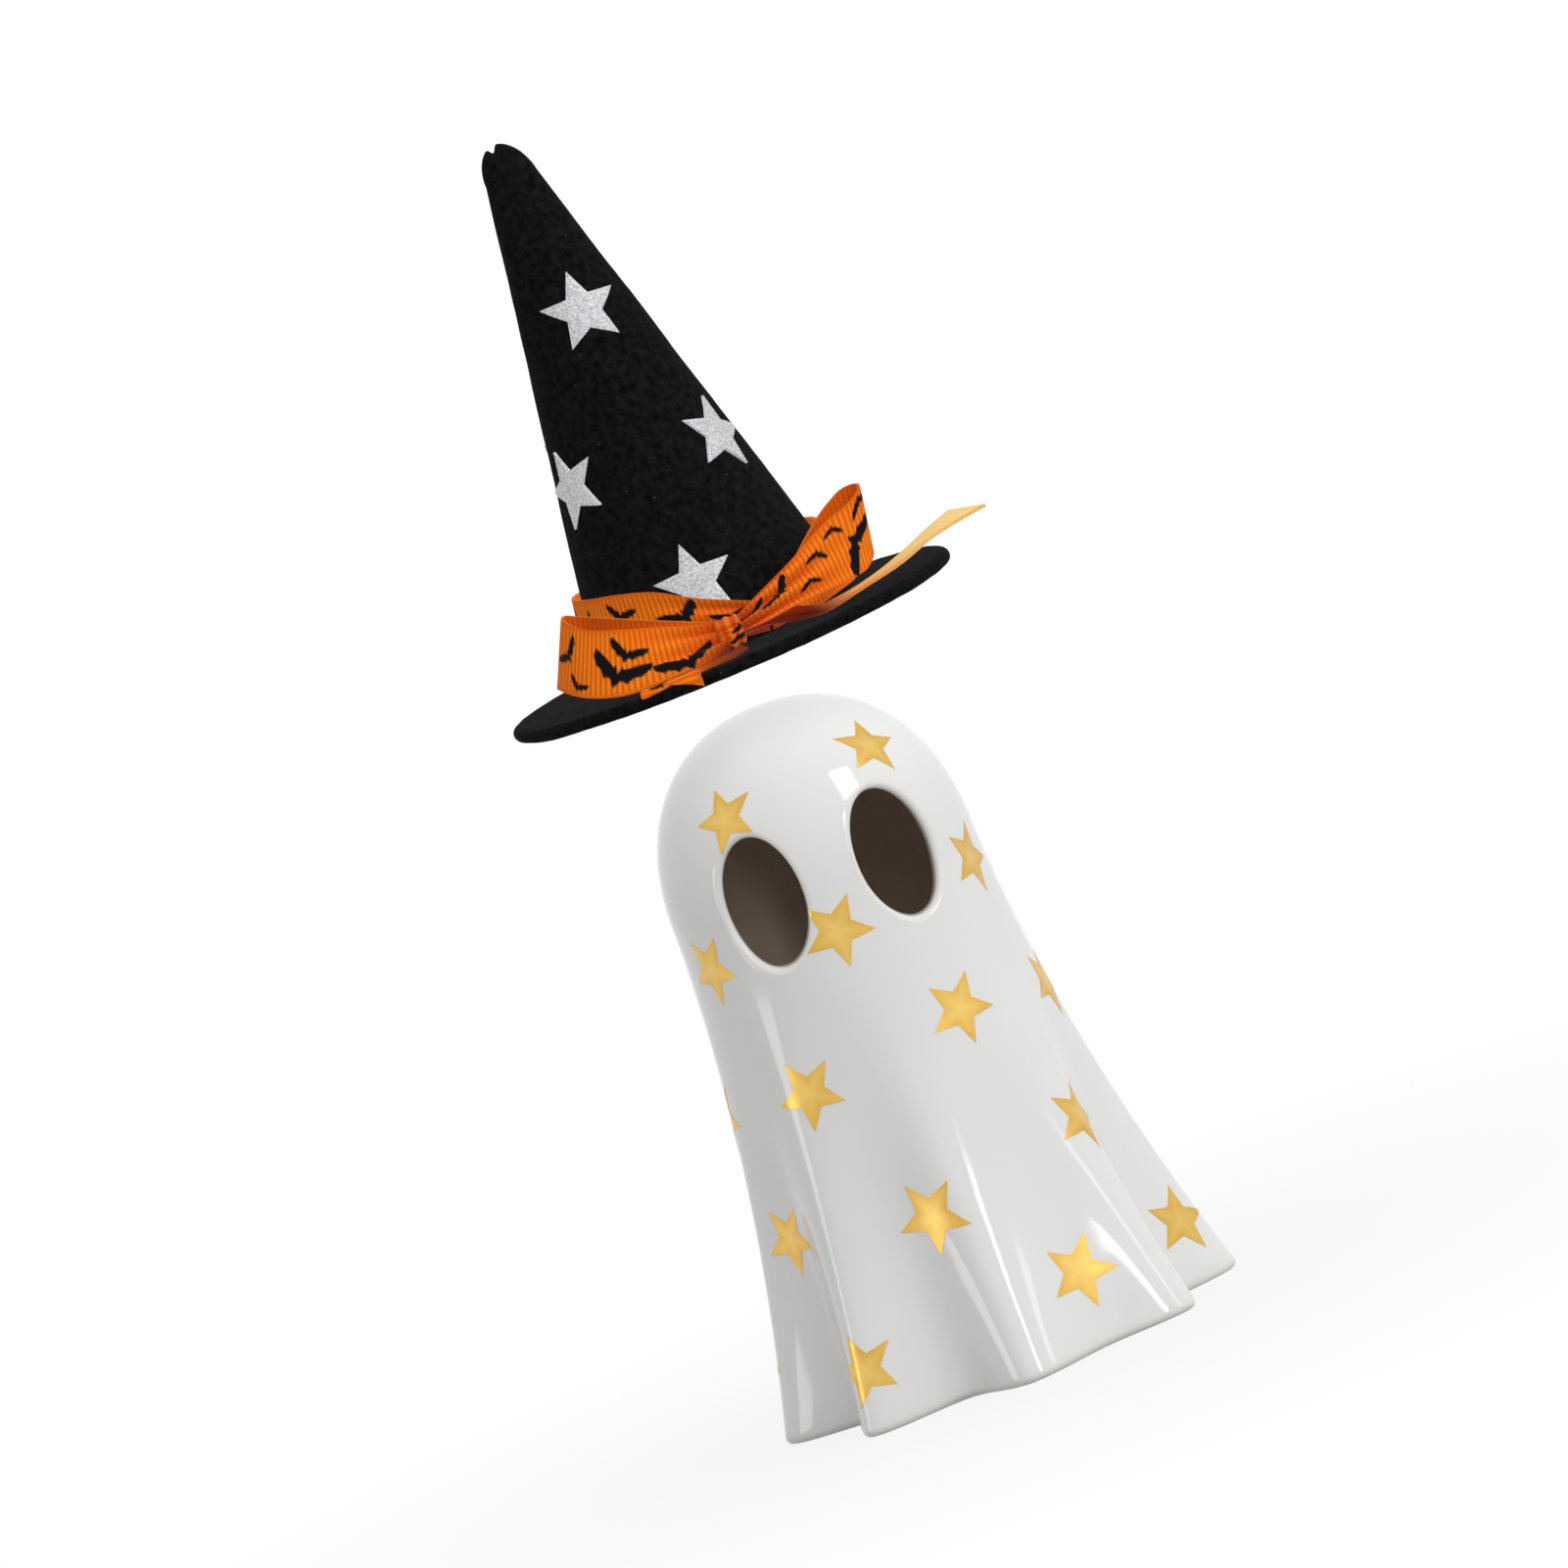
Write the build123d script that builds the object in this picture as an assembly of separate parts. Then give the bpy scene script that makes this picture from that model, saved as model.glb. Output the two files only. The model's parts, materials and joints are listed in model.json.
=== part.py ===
from build123d import *
from math import atan2, cos, exp, radians, sin
import os

# A glazed ceramic ghost with a felt witch hat that lifts off its head.
# Millimetres and degrees, +Z up. The figure stands on z = 0 round the Z axis and its eyes look along -Y.
# Angles round the figure and round the hat start at the front and grow towards +X.

# Ghost shell
GHOST_H = 102.0
HEAD_R = 23.1
DOME_H = 27.0
DOME_POWER = 2.2
WALL = 3.0
SKIRT_FLARE = 3.6
FLARE_POWER = 1.25
FOLD_POWER = 2.0
# One row a fold: angle of its ridge, reach of the ridge at the hem, angle and reach of the valley after it.
FOLDS = (
    (-88.5, 8.5, -64.5, -0.5),
    (-43.5, 8.6, -19.5, 0.0),
    (0.5, 7.8, 24.5, 4.0),
    (47.5, 9.0, 69.5, -0.3),
    (90.5, 9.2, 113.5, -0.8),
    (135.5, 8.2, 156.5, 0.6),
    (178.5, 7.8, 202.5, -0.6),
    (226.5, 8.4, 248.5, 0.8),
)
# Levels of the skirt's curves as shares of the way from the hem to the dome's foot, and of the dome's as turns
SKIRT_LEVELS = (0.0, 0.1, 0.25, 0.45, 0.7, 1.0)
DOME_TURNS = (25.0, 50.0, 72.0)

# Eye holes
EYE_ANGLE = 27.5
EYE_W = 12.4
EYE_H = 19.3
EYE_DROP = 24.9

# Felt hat, as it hangs lifted off the head
HAT_CLEAR = 8.7
HAT_TILT = 1.6
HAT_TURN = -2.5
FELT_T = 2.0
BRIM_R = 34.2
BRIM_EDGE_R = 0.7
CROWN_R = 19.9
CROWN_H = 74.5
CROWN_TAPER = 0.2175
CROWN_LEAN = 0.041
CROWN_HOLLOW_R = 2.4
GLUE_T = 0.25
GLUE_INSET = 0.3
# The pinched tip ends in two humps: sideways offset from the crown's axis, rise of the centre, radius
TIP_HUMPS = ((-1.3, 1.3, 2.35), (0.9, 1.6, 2.75))

# Silver star patches on the crown: angle, height of the centre above the brim, turn of the first arm to the left
SILVER_STAR_R = 6.1
SILVER_STAR_T = 0.6
STAR_WAIST = 0.45
SKIN_GAP = 0.02
SILVER_STARS = {
    "front": ((8.4, 52.7, -3), (-55.5, 29.5, 19), (55.5, 28.8, -22), (-2.4, 10.9, 0)),
    "back": ((176.0, 52.0, 4), (-125.0, 33.0, 12), (128.0, 30.0, -10), (-176.0, 24.0, 3)),
}

# Ribbon band and bow
RIBBON_W = 10.0
RIBBON_T = 0.5
STRIP_STEPS = 2
BAND_EASE = 0.9
BAND_TOP = 12.55
BAND_SLANT = 1.5
BAND_DIP = 7.0
BAND_DIP_ANGLE = 20.0
BAND_DIP_SPREAD = 22.0
BAND_GATHER = 0.55
BAND_ENDS = (17.0, -341.0)
BAND_STATIONS = 19
KNOT_SIZE = (4.0, 7.0, 4.6)
KNOT_AT = (0.6, -4.85, 3.1)
KNOT_EDGE_R = 1.6
KNOT_GAP = 0.05
TAIL_LIE = 0.45
TAIL_BEND = 1.5

# Bow strips, measured from the foot of the crown's front on top of the brim. One row a station:
# a point on the first edge, the direction to the second edge, and how much of the width is left ungathered.
LEFT_LOOP = (
    ((0.4, -7.4, 1.5), (0.0, 0.55, 0.83), 0.36),
    ((-3.8, -9.8, 0.95), (0.0, 0.6, 0.8), 0.6),
    ((-9.3, -10.7, 0.9), (0.1, 0.55, 0.83), 0.82),
    ((-16.4, -9.6, 1.0), (0.28, 0.45, 0.85), 1.0),
    ((-21.9, -5.4, 2.4), (0.4, 0.33, 0.85), 1.0),
    ((-24.9, 0.9, 4.1), (0.42, 0.15, 0.9), 1.0),
    ((-25.3, 3.3, 4.5), (0.44, 0.05, 0.9), 1.0),
    ((-24.5, 4.9, 4.5), (0.41, 0.0, 0.91), 1.0),
    ((-22.8, 5.0, 3.7), (0.38, -0.02, 0.92), 1.0),
    ((-17.2, 2.3, 1.5), (0.25, -0.08, 0.96), 1.0),
    ((-9.0, -0.7, 1.1), (0.1, -0.1, 0.98), 0.72),
    ((-0.4, -3.6, 1.7), (0.0, 0.0, 1.0), 0.3),
)
RIGHT_LOOP = (
    ((1.7, -6.4, 2.3), (0.1, 0.42, 0.9), 0.3),
    ((6.3, -7.0, 2.6), (0.02, 0.41, 0.91), 0.46),
    ((9.7, -6.4, 2.9), (-0.04, 0.41, 0.91), 0.55),
    ((13.1, -5.2, 3.0), (-0.08, 0.34, 0.94), 0.65),
    ((16.5, -3.6, 3.0), (-0.09, 0.31, 0.95), 0.79),
    ((19.4, -1.9, 3.0), (-0.02, 0.27, 0.96), 0.92),
    ((22.0, 0.0, 3.3), (0.12, 0.24, 0.96), 1.0),
    ((23.6, 2.4, 4.5), (0.2, 0.2, 0.96), 1.0),
    ((23.7, 5.0, 5.0), (0.17, 0.15, 0.97), 1.0),
    ((22.3, 7.0, 4.8), (0.1, 0.05, 0.99), 1.0),
    ((20.5, 6.9, 4.2), (0.05, 0.0, 1.0), 0.96),
    ((18.0, 5.2, 3.6), (0.0, 0.0, 1.0), 0.86),
    ((15.0, 2.8, 3.2), (0.0, 0.0, 1.0), 0.7),
    ((11.3, 0.2, 2.6), (0.0, 0.0, 1.0), 0.5),
    ((6.9, -1.9, 2.3), (0.0, 0.0, 1.0), 0.36),
    ((1.9, -3.7, 2.1), (0.0, 0.0, 1.0), 0.28),
)
RIGHT_TAIL = (
    ((1.7, -2.9, 1.5), (0.0, 0.35, 0.94), 0.3),
    ((5.8, -1.9, 1.3), (0.0, 0.3, 0.95), 0.3),
    ((10.0, -2.5, 0.9), (0.0, 0.93, 0.36), 0.38),
    ((14.7, -5.4, 0.5), (-0.15, 0.98, 0.05), 0.8),
    ((20.4, -6.0, 1.6), (-0.36, 0.93, -0.08), 1.0),
    ((26.5, -4.0, 2.5), (-0.4, 0.91, -0.1), 1.0),
    ((33.1, -1.0, 4.1), (-0.42, 0.9, -0.1), 1.0),
    ((37.2, 0.7, 4.6), (-0.46, 0.88, -0.03), 1.0),
    ((41.4, 2.5, 4.9), (-0.5, 0.86, 0.04), 1.0),
)
# The left tail runs out over the brim's edge: start and middle as above, then for its two corners
# the angle, how far they reach past the edge and how far they hang below the brim's top.
LEFT_TAIL = (
    ((-2.6, -4.2, 0.45), (0.86, -0.5, 0.0), 0.55),
    ((-7.4, -7.6, 0.45), (0.9, -0.43, 0.0), 0.8),
)
LEFT_TAIL_CORNERS = (-25.2, -9.5)
LEFT_TAIL_OVERHANG = (0.5, 1.1)
LEFT_TAIL_DROOP = (0.2, 1.5)


def round_point(angle, radius, z):
    """A point at an angle from the front, a distance from the axis and a height."""
    return Vector(radius * sin(radians(angle)), -radius * cos(radians(angle)), z)


def hem_stops():
    """Angles round the hem and how far it reaches past the plain flare there: ridges, valleys and half-ways."""
    turns = [(angle, reach) for row in FOLDS for angle, reach in (row[:2], row[2:])]
    turns.append((turns[0][0] + 360, turns[0][1]))
    stops = []
    for (angle, reach), (next_angle, next_reach) in zip(turns, turns[1:]):
        stops.append((angle, reach))
        stops.append(((angle + next_angle) / 2, (reach + next_reach) / 2))
    return stops


def ghost_form(grow):
    """The ghost's solid form, grown outwards: closed curves from the hem to the dome, ending in its top."""
    skirt_h = GHOST_H - DOME_H
    stops = hem_stops()
    rings = []
    for level in SKIRT_LEVELS:
        plain = HEAD_R + grow + SKIRT_FLARE * (1 - level) ** FLARE_POWER
        fold = (1 - level) ** FOLD_POWER
        rings.append([round_point(angle, plain + reach * fold, skirt_h * level) for angle, reach in stops])
    power = 2 / DOME_POWER
    for turn in DOME_TURNS:
        radius = (HEAD_R + grow) * cos(radians(turn)) ** power
        z = skirt_h + (DOME_H + grow) * sin(radians(turn)) ** power
        rings.append([round_point(angle, radius, z) for angle, _ in stops])
    curves = [Wire([Edge.make_spline(ring, periodic=True)]) for ring in rings]
    return Solid.make_loft(curves + [Vertex(0, 0, GHOST_H + grow)])


def eye_plug(angle):
    """The elliptical cutter of one eye, square to the wall."""
    outwards = round_point(angle, 1, 0)
    plane = Plane((0, 0, GHOST_H - EYE_DROP), x_dir=(cos(radians(angle)), sin(radians(angle)), 0), z_dir=outwards)
    return extrude(plane.offset(HEAD_R / 2) * Ellipse(EYE_W / 2, EYE_H / 2), HEAD_R)


def star_outline(radius):
    """A five-armed star whose first arm points up the sheet."""
    corners = []
    for i in range(10):
        reach = radius if i % 2 == 0 else radius * STAR_WAIST
        at = radians(36 * i + 90)
        corners.append((reach * cos(at), reach * sin(at)))
    return make_face(Polyline(corners, close=True))


def crown_radius(h):
    """Outer radius of the crown at a height above the brim."""
    return CROWN_R - CROWN_TAPER * h


def crown_point(angle, h, out):
    """A point that stands off the crown's side at an angle and a height above the brim."""
    return round_point(angle, crown_radius(h) + out, h) + Vector(-CROWN_LEAN * h, 0, 0)


def crown_cone(out, bottom, top):
    """The leaning cone that stands off the crown's side, between two heights."""
    rims = [Pos(-CROWN_LEAN * h, 0, h) * Circle(crown_radius(h) + out) for h in (bottom, top)]
    return loft(rims, ruled=True)


def crown():
    """The rolled felt cone with its two tip humps and its hollow."""
    tip = Vector(-CROWN_LEAN * CROWN_H, 0, CROWN_H)
    felt = crown_cone(0, GLUE_T, CROWN_H)
    for aside, rise, radius in TIP_HUMPS:
        felt += Pos(tip + Vector(aside, 0, rise)) * Sphere(radius)
    hollow_top = (CROWN_R - FELT_T - CROWN_HOLLOW_R) / CROWN_TAPER
    return felt - crown_cone(-FELT_T, -FELT_T, hollow_top)


def brim():
    """The flat felt ring, its cut edge softened, under the crown."""
    disc = Pos(0, 0, -FELT_T) * Cylinder(BRIM_R, FELT_T, align=(Align.CENTER, Align.CENTER, Align.MIN))
    disc = fillet(disc.edges(), BRIM_EDGE_R)
    return disc - Pos(0, 0, -FELT_T / 2) * Cylinder(CROWN_R - FELT_T, 2 * FELT_T)


def glue_line():
    """The flat ring of glue between the crown's foot and the brim."""
    height = (Align.CENTER, Align.CENTER, Align.MIN)
    outer = Cylinder(CROWN_R - GLUE_INSET, GLUE_T, align=height)
    return outer - Cylinder(CROWN_R - FELT_T + GLUE_INSET, GLUE_T, align=height)


def silver_stars(rows):
    """A group of star patches on the crown."""
    skin = crown_cone(SKIN_GAP + SILVER_STAR_T, GLUE_T, CROWN_H) - crown_cone(SKIN_GAP, GLUE_T, CROWN_H)
    patches = []
    for angle, h, turn in rows:
        up = crown_point(angle, h + 1, 0) - crown_point(angle, h, 0)
        across = crown_point(angle + 1, h, 0) - crown_point(angle - 1, h, 0)
        normal = across.cross(up)
        plane = Plane(crown_point(angle, h, 0), x_dir=up.cross(normal), z_dir=normal)
        outline = Rot(0, 0, turn) * star_outline(SILVER_STAR_R)
        prism = extrude(plane.offset(-CROWN_R / 4) * outline, CROWN_R / 2)
        patches += (prism & skin).solids()
    return Compound(children=patches)


def smooth(points):
    """Points along a smooth curve through the given ones, whose slope at each leans to the shorter chord."""
    chords = [b - a for a, b in zip(points, points[1:])]
    slopes = [chords[0].normalized()]
    for a, b in zip(chords, chords[1:]):
        slopes.append((a.normalized() * b.length + b.normalized() * a.length) / (a.length + b.length))
    slopes.append(chords[-1].normalized())
    curve = []
    for start, chord, first, second in zip(points, chords, slopes, slopes[1:]):
        for step in range(STRIP_STEPS):
            u = step / STRIP_STEPS
            bend = first * (u * (1 - u) ** 2) - second * (u**2 * (1 - u))
            curve.append(start + chord * (u**2 * (3 - 2 * u)) + bend * chord.length)
    return curve + [points[-1]]


def strip(edges):
    """A ribbon through thin rectangles set between its two edges, which run smoothly through their stations."""
    firsts, seconds = [smooth(points) for points in zip(*edges)]
    middles = [(a + b) / 2 for a, b in zip(firsts, seconds)]
    sections = []
    for i, (a, b) in enumerate(zip(firsts, seconds)):
        along = middles[min(i + 1, len(middles) - 1)] - middles[max(i - 1, 0)]
        half = along.cross(b - a).normalized() * (RIBBON_T / 2)
        sections.append(Wire.make_polygon([a - half, b - half, b + half, a + half]))
    return Solid.make_loft(sections, ruled=True)


def bow_edges(stations):
    """The two edges of a bow strip in the hat's frame, from its table of stations."""
    edges = []
    for start, way, share in stations:
        first = Vector(*start) + Vector(0, -CROWN_R, 0)
        edges.append((first, first + Vector(*way).normalized() * (RIBBON_W * share)))
    return edges


def knot(grow):
    """The rounded wrap in the middle of the bow."""
    block = Box(*(size + 2 * grow for size in KNOT_SIZE))
    block = fillet(block.edges(), KNOT_EDGE_R + grow)
    return Pos(Vector(*KNOT_AT) + Vector(0, -CROWN_R, 0)) * block


def band_edges():
    """The band's edges: a ring that slants to one side and dips and narrows behind the bow, where its ends meet."""
    edges = []
    stand = BAND_EASE + RIBBON_T / 2
    slope = cos(atan2(CROWN_TAPER, 1))
    step = (BAND_ENDS[1] - BAND_ENDS[0]) / (BAND_STATIONS - 1)
    for i in range(BAND_STATIONS):
        angle = BAND_ENDS[0] + i * step
        off = (angle - BAND_DIP_ANGLE + 180) % 360 - 180
        dip = exp(-(off**2) / (2 * BAND_DIP_SPREAD**2))
        top = BAND_TOP - BAND_SLANT * sin(radians(angle)) - BAND_DIP * dip
        bottom = top - RIBBON_W * (1 - BAND_GATHER * dip) * slope
        edges.append((crown_point(angle, bottom, stand), crown_point(angle, top, stand)))
    return edges


def left_tail_edges():
    """The left tail's edges: flat from under the knot to the brim's edge, then drooping past it."""
    edges = bow_edges(LEFT_TAIL)
    for inset in (TAIL_BEND, 0):
        edges.append(tuple(round_point(a, BRIM_R - inset, TAIL_LIE) for a in LEFT_TAIL_CORNERS))
    ends = zip(LEFT_TAIL_CORNERS, LEFT_TAIL_OVERHANG, LEFT_TAIL_DROOP)
    edges.append(tuple(round_point(a, BRIM_R + past, -droop) for a, past, droop in ends))
    return edges


# Ghost part, in the frame of the whole
shell = ghost_form(0) - ghost_form(-WALL)
for side in (-1, 1):
    shell -= eye_plug(side * EYE_ANGLE)
parts = {"ghost_shell": shell}

# Hat parts, built on the top of a level brim and then lifted, turned and tilted to their place
hat = {"hat_crown": crown(), "hat_brim": brim(), "glue_line": glue_line(), "bow_knot": knot(0)}
for place, rows in SILVER_STARS.items():
    hat["hat_stars_" + place] = silver_stars(rows)
around_knot = knot(KNOT_GAP)
hat["ribbon_band"] = strip(band_edges())
hat["bow_left_loop"] = strip(bow_edges(LEFT_LOOP)) - around_knot
hat["bow_right_loop"] = strip(bow_edges(RIGHT_LOOP)) - around_knot
hat["bow_left_tail"] = strip(left_tail_edges())
hat["bow_right_tail"] = strip(bow_edges(RIGHT_TAIL)) - around_knot
hat_place = Pos(0, 0, GHOST_H + HAT_CLEAR) * Rot(0, 0, HAT_TURN) * Rot(0, -HAT_TILT, 0) * Pos(0, 0, FELT_T)
for name, shape in hat.items():
    parts[name] = hat_place * shape

os.makedirs("parts", exist_ok=True)
for name, shape in parts.items():
    export_step(shape, "parts/" + name + ".step")
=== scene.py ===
import json

import bmesh
import bpy
import numpy as np
from mathutils import Matrix, Vector

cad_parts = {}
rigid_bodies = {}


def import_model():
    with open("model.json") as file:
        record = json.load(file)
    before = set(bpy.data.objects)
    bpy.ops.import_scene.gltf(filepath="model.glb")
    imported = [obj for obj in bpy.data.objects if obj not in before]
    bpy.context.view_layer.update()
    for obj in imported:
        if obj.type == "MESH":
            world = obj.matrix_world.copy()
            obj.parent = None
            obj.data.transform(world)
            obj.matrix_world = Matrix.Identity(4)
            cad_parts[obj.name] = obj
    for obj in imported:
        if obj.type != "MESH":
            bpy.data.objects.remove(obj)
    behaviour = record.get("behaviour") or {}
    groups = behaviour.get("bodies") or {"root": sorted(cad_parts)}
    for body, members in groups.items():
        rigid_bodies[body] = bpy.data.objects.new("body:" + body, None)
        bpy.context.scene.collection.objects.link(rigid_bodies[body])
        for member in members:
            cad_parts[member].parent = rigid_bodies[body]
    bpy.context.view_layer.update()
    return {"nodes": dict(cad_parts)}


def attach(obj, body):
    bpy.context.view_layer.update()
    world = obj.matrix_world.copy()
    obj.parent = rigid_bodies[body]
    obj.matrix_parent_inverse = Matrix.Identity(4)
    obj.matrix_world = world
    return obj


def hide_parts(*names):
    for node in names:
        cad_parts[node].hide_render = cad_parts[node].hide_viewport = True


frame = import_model()

# Ghost shell: one slip-cast pot, open below, with two eye holes cut through its wet wall.
# Its folds fan out from the head to a scalloped hem. Glossy white glaze covers the outside and the
# rims of the eyes, and the buff clay within is bare. Millimetres and degrees from the front.
MM = 0.001
GHOST_H = 102.0
HEAD_R = 23.1
DOME_H = 27.0
DOME_POWER = 2.2
WALL = 3.0
SKIRT_H = GHOST_H - DOME_H
SKIRT_FLARE = 3.6
FLARE_POWER = 1.25
FOLD_POWER = 2.0
RIDGE_CRISPNESS = 0.85
# One row a fold: angle of its ridge, reach of the ridge at the hem, angle and reach of the valley after it.
FOLDS = (
    (-88.5, 8.5, -64.5, -0.5),
    (-43.5, 8.6, -19.5, 0.0),
    (0.5, 7.8, 24.5, 4.0),
    (47.5, 9.0, 69.5, -0.3),
    (90.5, 9.2, 113.5, -0.8),
    (135.5, 8.2, 156.5, 0.6),
    (178.5, 7.8, 202.5, -0.6),
    (226.5, 8.4, 248.5, 0.8),
)
HEM_R = 1.3
INNER_HEM_R = 0.6
HEM_ROWS = 8
EYE_ANGLE = 27.5
EYES = (-EYE_ANGLE, EYE_ANGLE)
EYE_HALF_W = 6.2
EYE_HALF_H = 9.65
EYE_Z = GHOST_H - 24.9
EYE_LIP_R = 1.1
EYE_CUT_SKEW = 1.0
EYE_GUESSES = 12
EYE_ROWS = {"rim": 12, "lip": 9, "cut": 4, "back": 8}
# The eyes are set into square windows of the wall's grid.
GHOST_COLUMNS = 288
SKIRT_ROWS = 70
WINDOW_ROWS = 27
DOME_ROWS = 36
WINDOW_HALF_ANGLE = 22.5
WINDOW_LOW = 64.0
WINDOW_HIGH = 90.0
# How thin the glaze has run: where an eye's lip begins, how much less at the end of its cut, and on the
# hem, with the height over which that fades.
LIP_THIN = 0.6
LIP_THIN_POWER = 4
CUT_THIN = 0.5
HEM_THIN = 0.8
HEM_THIN_H = 1.2


def between(start, end, share):
    """What lies at a share of the way from one value to another."""
    return start + (end - start) * share


def fold_reach(angle):
    """How far the hem stands past its plain flare: half a cosine wave from each ridge to the valley beside
    it, with the angle from the ridge raised to a power under one, which narrows the ridge."""
    turns = np.array([turn for row in FOLDS for turn in (row[:2], row[2:])])
    at = np.append(turns[:, 0], turns[0, 0] + 360)
    reach = np.append(turns[:, 1], turns[0, 1])
    angle = (angle - at[0]) % 360 + at[0]
    left = np.clip(np.searchsorted(at, angle, side="right") - 1, 0, len(at) - 2)
    share = (angle - at[left]) / (at[left + 1] - at[left])
    starts_on_ridge = left % 2 == 0
    from_ridge = np.clip(np.where(starts_on_ridge, share, 1 - share), 0, 1)
    ridge = np.where(starts_on_ridge, reach[left], reach[left + 1])
    valley = np.where(starts_on_ridge, reach[left + 1], reach[left])
    return between(valley, ridge, 0.5 + 0.5 * np.cos(np.pi * from_ridge**RIDGE_CRISPNESS))


def ghost_radius(angle, z, grow=0.0):
    """Radius of the wall: the head's, plus a flare and folds that grow as powers of the way down the skirt.
    Above the skirt it closes as a superellipse."""
    down = np.clip(1 - z / SKIRT_H, 0, 1)
    skirt = HEAD_R + grow + SKIRT_FLARE * down**FLARE_POWER + fold_reach(angle) * down**FOLD_POWER
    up = np.clip((z - SKIRT_H) / (DOME_H + grow), 0, 1)
    return skirt * (1 - up**DOME_POWER) ** (1 / DOME_POWER)


def as_points(x, y, z):
    """Points from coordinates, each given for one point, a row, a column or a whole grid."""
    return np.stack(np.broadcast_arrays(x, y, z), axis=-1)


def round_points(angle, radius, z):
    """Points at angles from the front, distances from the axis and heights."""
    turn = np.radians(angle)
    return as_points(radius * np.sin(turn), -radius * np.cos(turn), z)


def ring_angles(count, start=0):
    """Even angles once round, one for each column of a ring."""
    return np.arange(count) * 360 / count + start


def ghost_wall(angle, z, grow=0.0, inset=0.0):
    """Points of the wall at angles and heights, moved inwards by an inset."""
    return round_points(angle, ghost_radius(angle, z, grow) - inset, z)


def inner_level(z):
    """The height on the inner wall that goes with one on the outer: the inner dome is lower by the wall."""
    return np.where(z > SKIRT_H, SKIRT_H + (z - SKIRT_H) * (DOME_H - WALL) / DOME_H, z)


def on_eye_axis(eye, aside, z, grow):
    """How far along an eye's level axis the wall lies, for points beside it, found by repeated guesses."""
    depth = np.sqrt(np.maximum((HEAD_R + grow) ** 2 - aside**2, 1))
    for _ in range(EYE_GUESSES):
        radius = ghost_radius(eye + np.degrees(np.arctan2(aside, depth)), z, grow)
        depth = np.sqrt(np.maximum(radius**2 - aside**2, 0))
    return depth


def from_eye_axis(eye, aside, depth, z):
    """Points from their distance beside an eye's axis, along it, and their height."""
    radius = np.hypot(aside, depth)
    return round_points(eye + np.degrees(np.arctan2(aside, depth)), radius, z)


def patch(points, ring=False, finish=0, skip=None, **marks):
    """A grid of points for make_piece. The rows of a ring close on themselves, and skip leaves faces out."""
    return {"points": points, "ring": ring, "finish": finish, "skip": skip, "marks": marks}


CREASE = 42.0
WELD = 0.002
FINE_WELD = 0.0005
scene = bpy.context.scene


def make_piece(name, body, patches, materials, weld=WELD):
    """Joins grids of points into one mesh: each becomes quads, borders that meet are welded, and the faces
    turn outwards. Marks become attributes of its points, and are nought where a grid has none."""
    quads, finishes = [], []
    start = 0
    for grid in patches:
        rows, columns = grid["points"].shape[:2]
        index = start + np.arange(rows * columns).reshape(rows, columns)
        if grid["ring"]:
            index = np.hstack([index, index[:, :1]])
        faces = np.stack([index[:-1, :-1], index[:-1, 1:], index[1:, 1:], index[1:, :-1]], axis=-1)
        quads.append(faces.reshape(-1, 4) if grid["skip"] is None else faces[~grid["skip"]])
        finishes.append(np.full(len(quads[-1]), grid["finish"], np.int32))
        start += rows * columns
    points = np.vstack([grid["points"].reshape(-1, 3) for grid in patches])
    mesh = bpy.data.meshes.new(name)
    mesh.from_pydata(points * MM, [], np.vstack(quads))
    for material in materials:
        mesh.materials.append(material)
    mesh.polygons.foreach_set("material_index", np.concatenate(finishes))
    for mark in dict.fromkeys(mark for grid in patches for mark in grid["marks"]):
        values = [
            np.broadcast_to(grid["marks"].get(mark, 0.0), grid["points"].shape[:2]).ravel()
            for grid in patches
        ]
        mesh.attributes.new(mark, "FLOAT", "POINT").data.foreach_set("value", np.concatenate(values))
    work = bmesh.new()
    work.from_mesh(mesh)
    bmesh.ops.remove_doubles(work, verts=work.verts, dist=weld * MM)
    bmesh.ops.recalc_face_normals(work, faces=work.faces)
    work.to_mesh(mesh)
    work.free()
    mesh.polygons.foreach_set("use_smooth", np.ones(len(mesh.polygons), bool))
    mesh.set_sharp_from_angle(angle=np.radians(CREASE))
    piece = bpy.data.objects.new(name, mesh)
    scene.collection.objects.link(piece)
    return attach(piece, body)


def put(tree, kind, inputs=None, **options):
    """Adds a node with its options. An input takes a plain value, or a wire from another node's output."""
    node = tree.nodes.new(kind)
    for option, value in options.items():
        setattr(node, option, value)
    for socket, value in (inputs or {}).items():
        if isinstance(value, bpy.types.NodeSocket):
            tree.links.new(value, node.inputs[socket])
        else:
            node.inputs[socket].default_value = value
    return node


def put_math(tree, operation, first, second, clamp=False):
    """Adds a node that works out one value from two values or wires, and gives its result."""
    node = put(tree, "ShaderNodeMath", {0: first, 1: second}, operation=operation, use_clamp=clamp)
    return node.outputs[0]


def blend_colours(tree, amount, first, second):
    """A colour between two, by a mask: each may be a plain colour or a wire."""
    return put(tree, "ShaderNodeMix", {0: amount, 6: first, 7: second}, data_type="RGBA").outputs[2]


def read_mark(tree, mark):
    """A mark of the piece's own points, as a wire."""
    return put(tree, "ShaderNodeAttribute", attribute_name=mark).outputs["Fac"]


def start_material(name, **settings):
    """A material with one Principled shader, its plain settings written on its own sockets."""
    material = bpy.data.materials.new(name)
    material.use_nodes = True
    shader = material.node_tree.nodes["Principled BSDF"]
    for socket, value in settings.items():
        shader.inputs[socket].default_value = value
    return material, material.node_tree, shader


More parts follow.
